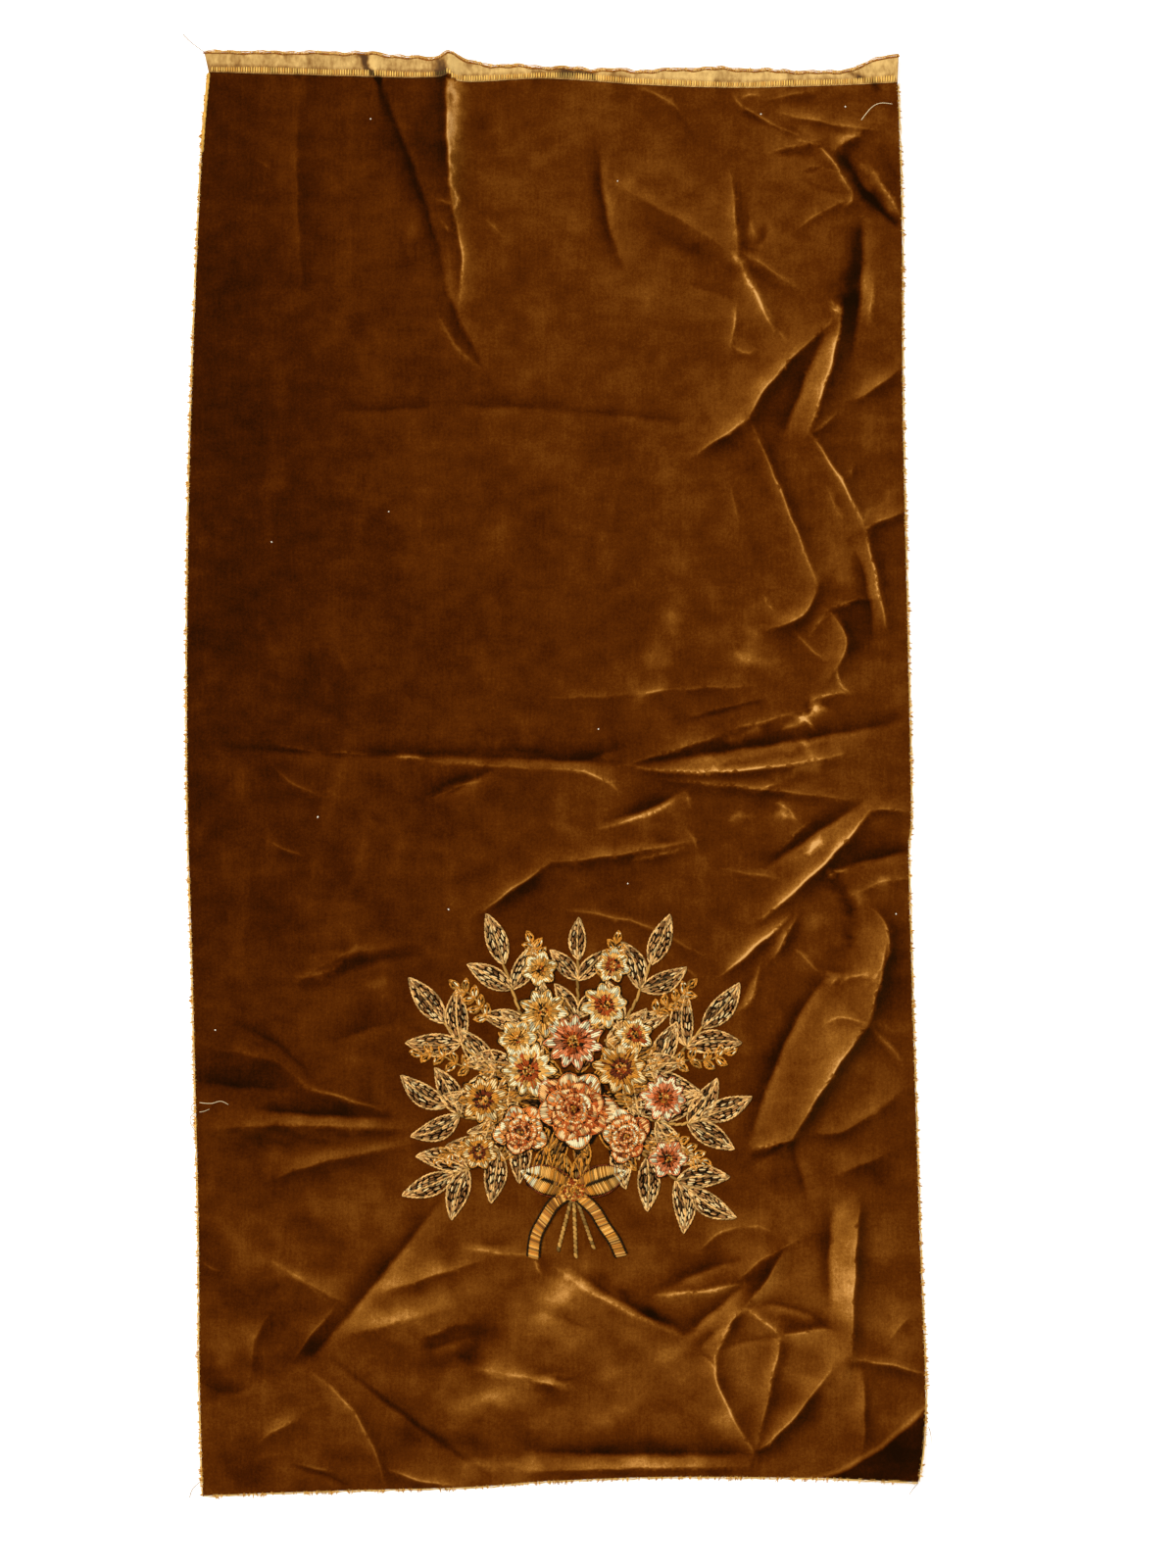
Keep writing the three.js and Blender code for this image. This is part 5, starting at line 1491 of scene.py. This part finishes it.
def ravelled(edge, out, pitch, longest, seed, tints=FRAY_TINTS):
    """Spikes of thread ends standing out of a cut edge, and a few loose threads lying along it."""
    chance = np.random.default_rng(seed)
    out = np.array(out, float)
    aside = np.array([-out[1], out[0]])
    count = round(len(edge) * EDGE_SPACING / pitch)
    roots = along_line(edge, np.sort(chance.uniform(0, len(edge) - 1, count)))
    tips = longest * chance.uniform(SHORTEST_SPIKE, 1, count) ** LONG_RARE
    tips = tips[:, None] * out + (chance.normal(0, SPIKE_LEAN, count) * tips)[:, None] * aside
    spread = pitch * chance.uniform(-ROOT_SPREAD, ROOT_SPREAD, (count, SPIKE_FIBRES))
    share = np.linspace(0, 1, FIBRE_POINTS)
    start = roots[:, None] - ROOT_DEPTH * out + spread[..., None] * aside
    end = (roots + tips)[:, None] + TIP_SPREAD * spread[..., None] * aside
    end -= chance.uniform(0, FIBRE_SHORT, (count, SPIKE_FIBRES, 1)) * tips[:, None]
    bend = chance.normal(0, FIBRE_BEND, (count, SPIKE_FIBRES, 1, 1)) * aside
    bend = (share * (1 - share))[None, None, :, None] * bend
    lines = np.zeros((count, SPIKE_FIBRES, FIBRE_POINTS, 3))
    lines[..., :2] = start[:, :, None] + share[None, None, :, None] * (end - start)[:, :, None] + bend
    height = lay(roots)[:, None] + chance.uniform(*LEAVING_HEIGHTS, (count, SPIKE_FIBRES))
    lines[..., 2] = np.maximum(height[..., None] * (1 - TIP_DROP * share ** 2), LOWEST_FIBRE)
    lines = lines.reshape(-1, FIBRE_POINTS, 3)
    bundles = [(lines, FIBRE_RADIUS, FIBRE_TIP, dyed(chance, len(lines), tints))]
    stops = np.linspace(0, len(edge) - 1, 2 * len(edge))
    for reach, level in LOOSENED:
        waves = [np.sin(turn * stops + shift * reach) for turn, shift in LOOSENED_TURNS]
        path = along_line(edge, stops) + (reach + LOOSENED_WAVER * np.prod(waves, axis=0))[:, None] * out
        lie = np.column_stack([path, lay(path) + level])
        bundles.append((lie[None], LOOSENED_RADIUS, 1.0, dyed(chance, 1, tints[-2:-1])))
    return thread_tubes(bundles)


# Ground thread has a stronger painted glow, so thread ends stay golden in the cloth's shade
ground_thread = thread_finish("ground_thread", Roughness=0.8, Specular_IOR_Level=0.08, Emission_Strength=0.2)
# Frayed sides: piece, the node it replaces, edge, direction out of the cloth, spikes' pitch and length, seed
FRAYED = (
    ("fray_threads_left", "fray_left", left_edge, (-1, 0), 1.8, 4.6, 21),
    ("fray_threads_right", "fray_right", right_edge, (1, 0), 2.0, 4.8, 22),
    ("fray_threads_bottom", "fray_bottom", bottom_edge, (0, -1), 2.0, 5.2, 23),
)
for name, node, *side in FRAYED:
    fray = joined_mesh(name, *ravelled(*side), ground_thread, "ground_thread")
    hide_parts(node)

# The selvedge's threads: a row of upright gold picks along the edge of the pile, a brown cord of
# overcast thread at the very edge, and pale fluff standing out of it.
PICK_PITCH = 2.2
PICK_LENGTH = 6.4
PICK_WIDTH = 1.2
PICK_GOLD = (240, 194, 98)
PICK_DULL = (216, 162, 72)
PICK_UNEVEN = (0.85, 1.2)
# How far the row keeps from the sides and the pile, how its picks lean, and how far they lie over the weave
PICK_INSETS = (3, 2)
PICK_FOOT = PILE_STEP + 0.4
PICK_LEAN = (-0.2, 0.3)
PICK_LIFT = 0.3
SEWN_HEIGHT = 0.9
# Picks take painted shade where the weave under them is painted dark by its ripples and tucks: brightness on the
# plain weave, contrast and darkest
PICK_LIGHT = 1.25
PICK_CONTRAST = 1.5
PICK_DARKEST = 0.4
# Picks are worn along the row in slow waves: turns and shift of each, and what wear takes of length and gold
WORN_WAVES = ((0.021, 1.3), (0.047, 0.4))
WORN_LENGTH = 0.3
GOLD_SHARES = (0.35, 0.6)
CORD_BROWN = (150, 88, 28)
CORD_PITCH = 1.6
CORD_WIDTH = 1.4
CORD_INSET = 0.9
CORD_LIFT = 0.1
CORD_SLANT = 0.45
CORD_UNEVEN = (0.4, 1.4)
# The left side's top end is clean, overcast in wider stitches from this height up
CLEAN_FROM = 552
CLEAN_WIDTH = 2.4
CLEAN_INSET = 0.4
CLEAN_OVERLAP = 1
FLUFF_TINTS = ((214, 164, 84), (236, 196, 122))
FLUFF_PITCH = 3.0
FLUFF_LENGTH = 3.0

picks = Needlework(31, uneven=PICK_UNEVEN)
pick_x = np.arange(pile_border[0, 0] + PICK_INSETS[0], pile_border[-1, 0] - PICK_INSETS[1], PICK_PITCH)
pick_feet = np.column_stack([pick_x, border_height(pick_x) + PICK_FOOT])
pick_middles = pick_feet + (0, 0.5 * PICK_LENGTH)
# Painted shade on the picks over the weave's ripples and tucks
painted_ripple_shade = shaded_pile_tone(pick_middles) + PICK_SHADE - BASE_TONE
pick_light = np.clip(PICK_LIGHT + PICK_CONTRAST * painted_ripple_shade, PICK_DARKEST, 1)
for foot, level, light in zip(pick_feet, top_of(pick_middles), pick_light):
    kept = 0.5 + 0.5 * math.prod(math.sin(turn * foot[0] + shift) for turn, shift in WORN_WAVES)
    head = foot + (picks.chance.uniform(*PICK_LEAN), PICK_LENGTH * (1 - WORN_LENGTH + WORN_LENGTH * kept))
    tint = PICK_GOLD if picks.chance.random() < GOLD_SHARES[0] + GOLD_SHARES[1] * kept else PICK_DULL
    picks.stitch(foot, head, level + PICK_LIFT, PICK_WIDTH, light * np.array(tint), height=SEWN_HEIGHT, bow=0.15)
cord_path = smooth_line(selvedge_edge - (0, CORD_INSET), CORD_PITCH)
for place, level in zip(cord_path, top_of(cord_path)):
    slant = np.array([1.0, CORD_SLANT * picks.chance.uniform(*CORD_UNEVEN)])
    start, end = place - slant, place + slant
    picks.stitch(start, end, level + CORD_LIFT, CORD_WIDTH, CORD_BROWN, height=SEWN_HEIGHT, bow=0.1)
clean_edge = left_edge[left_edge[:, 1] > CLEAN_FROM]
for start, end, level in zip(clean_edge[:-1], clean_edge[1:], top_of(clean_edge)):
    start, end = start + (CLEAN_INSET, -CLEAN_OVERLAP), end + (CLEAN_INSET, CLEAN_OVERLAP)
    picks.stitch(start, end, level, CLEAN_WIDTH, PICK_DULL, height=SEWN_HEIGHT, bow=0.1)
selvedge_stitching = picks.piece("selvedge_stitching", ground_thread, "ground_thread")
fluff_threads = ravelled(selvedge_edge[::-1], (0, 1), FLUFF_PITCH, FLUFF_LENGTH, 33, FLUFF_TINTS)
fluff = joined_mesh("selvedge_fluff", *fluff_threads, ground_thread, "ground_thread")

# Loose ends: a thread left lying on the pile at the top right, threads pulled out of the left edge
# and the corners, and a few specks of white lint.
LOOSE_THREADS = [
    ((271, 580), (280, 591), (289, 595), (304, 593)),
    ((-319, -291), (-306, -292), (-297, -290), (-290, -293)),
    ((-318, -300), (-312, -299), (-307, -297)),
    ((-319, -292), (-323, -294), (-323, -298), (-320, -300)),
    ((-320, -300), (-324, -304), (-324, -310), (-320, -317)),
    ((-331, 657), (-324, 650), (-312, 641)),
    ((-325, -642), (-322, -634), (-313, -626)),
    ((331, -579), (333, -587), (333, -595)),
    ((314, -639), (317, -634), (321, -628)),
]
LOOSE_TINT = ((236, 214, 168),)
HANGING_TINT = ((150, 112, 52),)
LOOSE_RADIUS = 0.38
LOOSE_TIP = 0.8
LOOSE_SPACING = 1.0
LOOSE_POINTS = 18
LOOSE_LIFT = 0.5
# Off the cloth, a thread leaves its edge at this height and sinks to the table over this length
EDGE_HEIGHT = 0.8
HANG = 6.0
EASING = (0.25, 0.5, 0.25)
EASINGS = 3
LINT = [
    (-164, 581), (-148, 233), (-252, 206), (38, 40), (257, 592), (182, 585), (-302, -227), (-211, -38), (55, 526),
    (64, -97), (-95, -120), (302, -124),
]
LINT_WHITE = (244, 236, 214)
LINT_UNEVEN = (0.9, 1.1)
LINT_REACH = (0.5, 0.9)
LINT_WIDTH = 1.2
LINT_HEIGHT = 0.6
LINT_LIFT = 0.2

edges = np.vstack([left_edge, right_edge, bottom_edge, selvedge_edge])
chance = np.random.default_rng(41)
bundles = []
for path in LOOSE_THREADS:
    drawn = smooth_line(path, LOOSE_SPACING)
    drawn = along_line(drawn, np.linspace(0, len(drawn) - 1, LOOSE_POINTS))
    over = inside(drawn)
    off = np.array([np.hypot(*(edges - place).T).min() for place in drawn])
    level = np.where(over, top_of(drawn), (lay(drawn) + EDGE_HEIGHT) * np.exp(-off / HANG)) + LOOSE_LIFT
    for _ in range(EASINGS):
        level = np.convolve(np.pad(level, 1, mode="edge"), EASING, mode="valid")
    tint = LOOSE_TINT if over.mean() > 0.5 else HANGING_TINT
    bundles.append((np.column_stack([drawn, level])[None], LOOSE_RADIUS, LOOSE_TIP, dyed(chance, 1, tint)))
loose_threads = joined_mesh("loose_threads", *thread_tubes(bundles), ground_thread, "ground_thread")

specks = Needlework(42, uneven=LINT_UNEVEN)
for x, y in LINT:
    place = np.array([x, y], float)
    ahead, _ = turned(specks.chance.uniform(0, math.pi))
    reach = specks.chance.uniform(*LINT_REACH) * ahead
    level = top_of(place[None])[0] + LINT_LIFT
    specks.stitch(place - reach, place + reach, level, LINT_WIDTH, LINT_WHITE, height=LINT_HEIGHT, bow=0.1)
lint = specks.piece("lint_specks", ground_thread, "ground_thread")
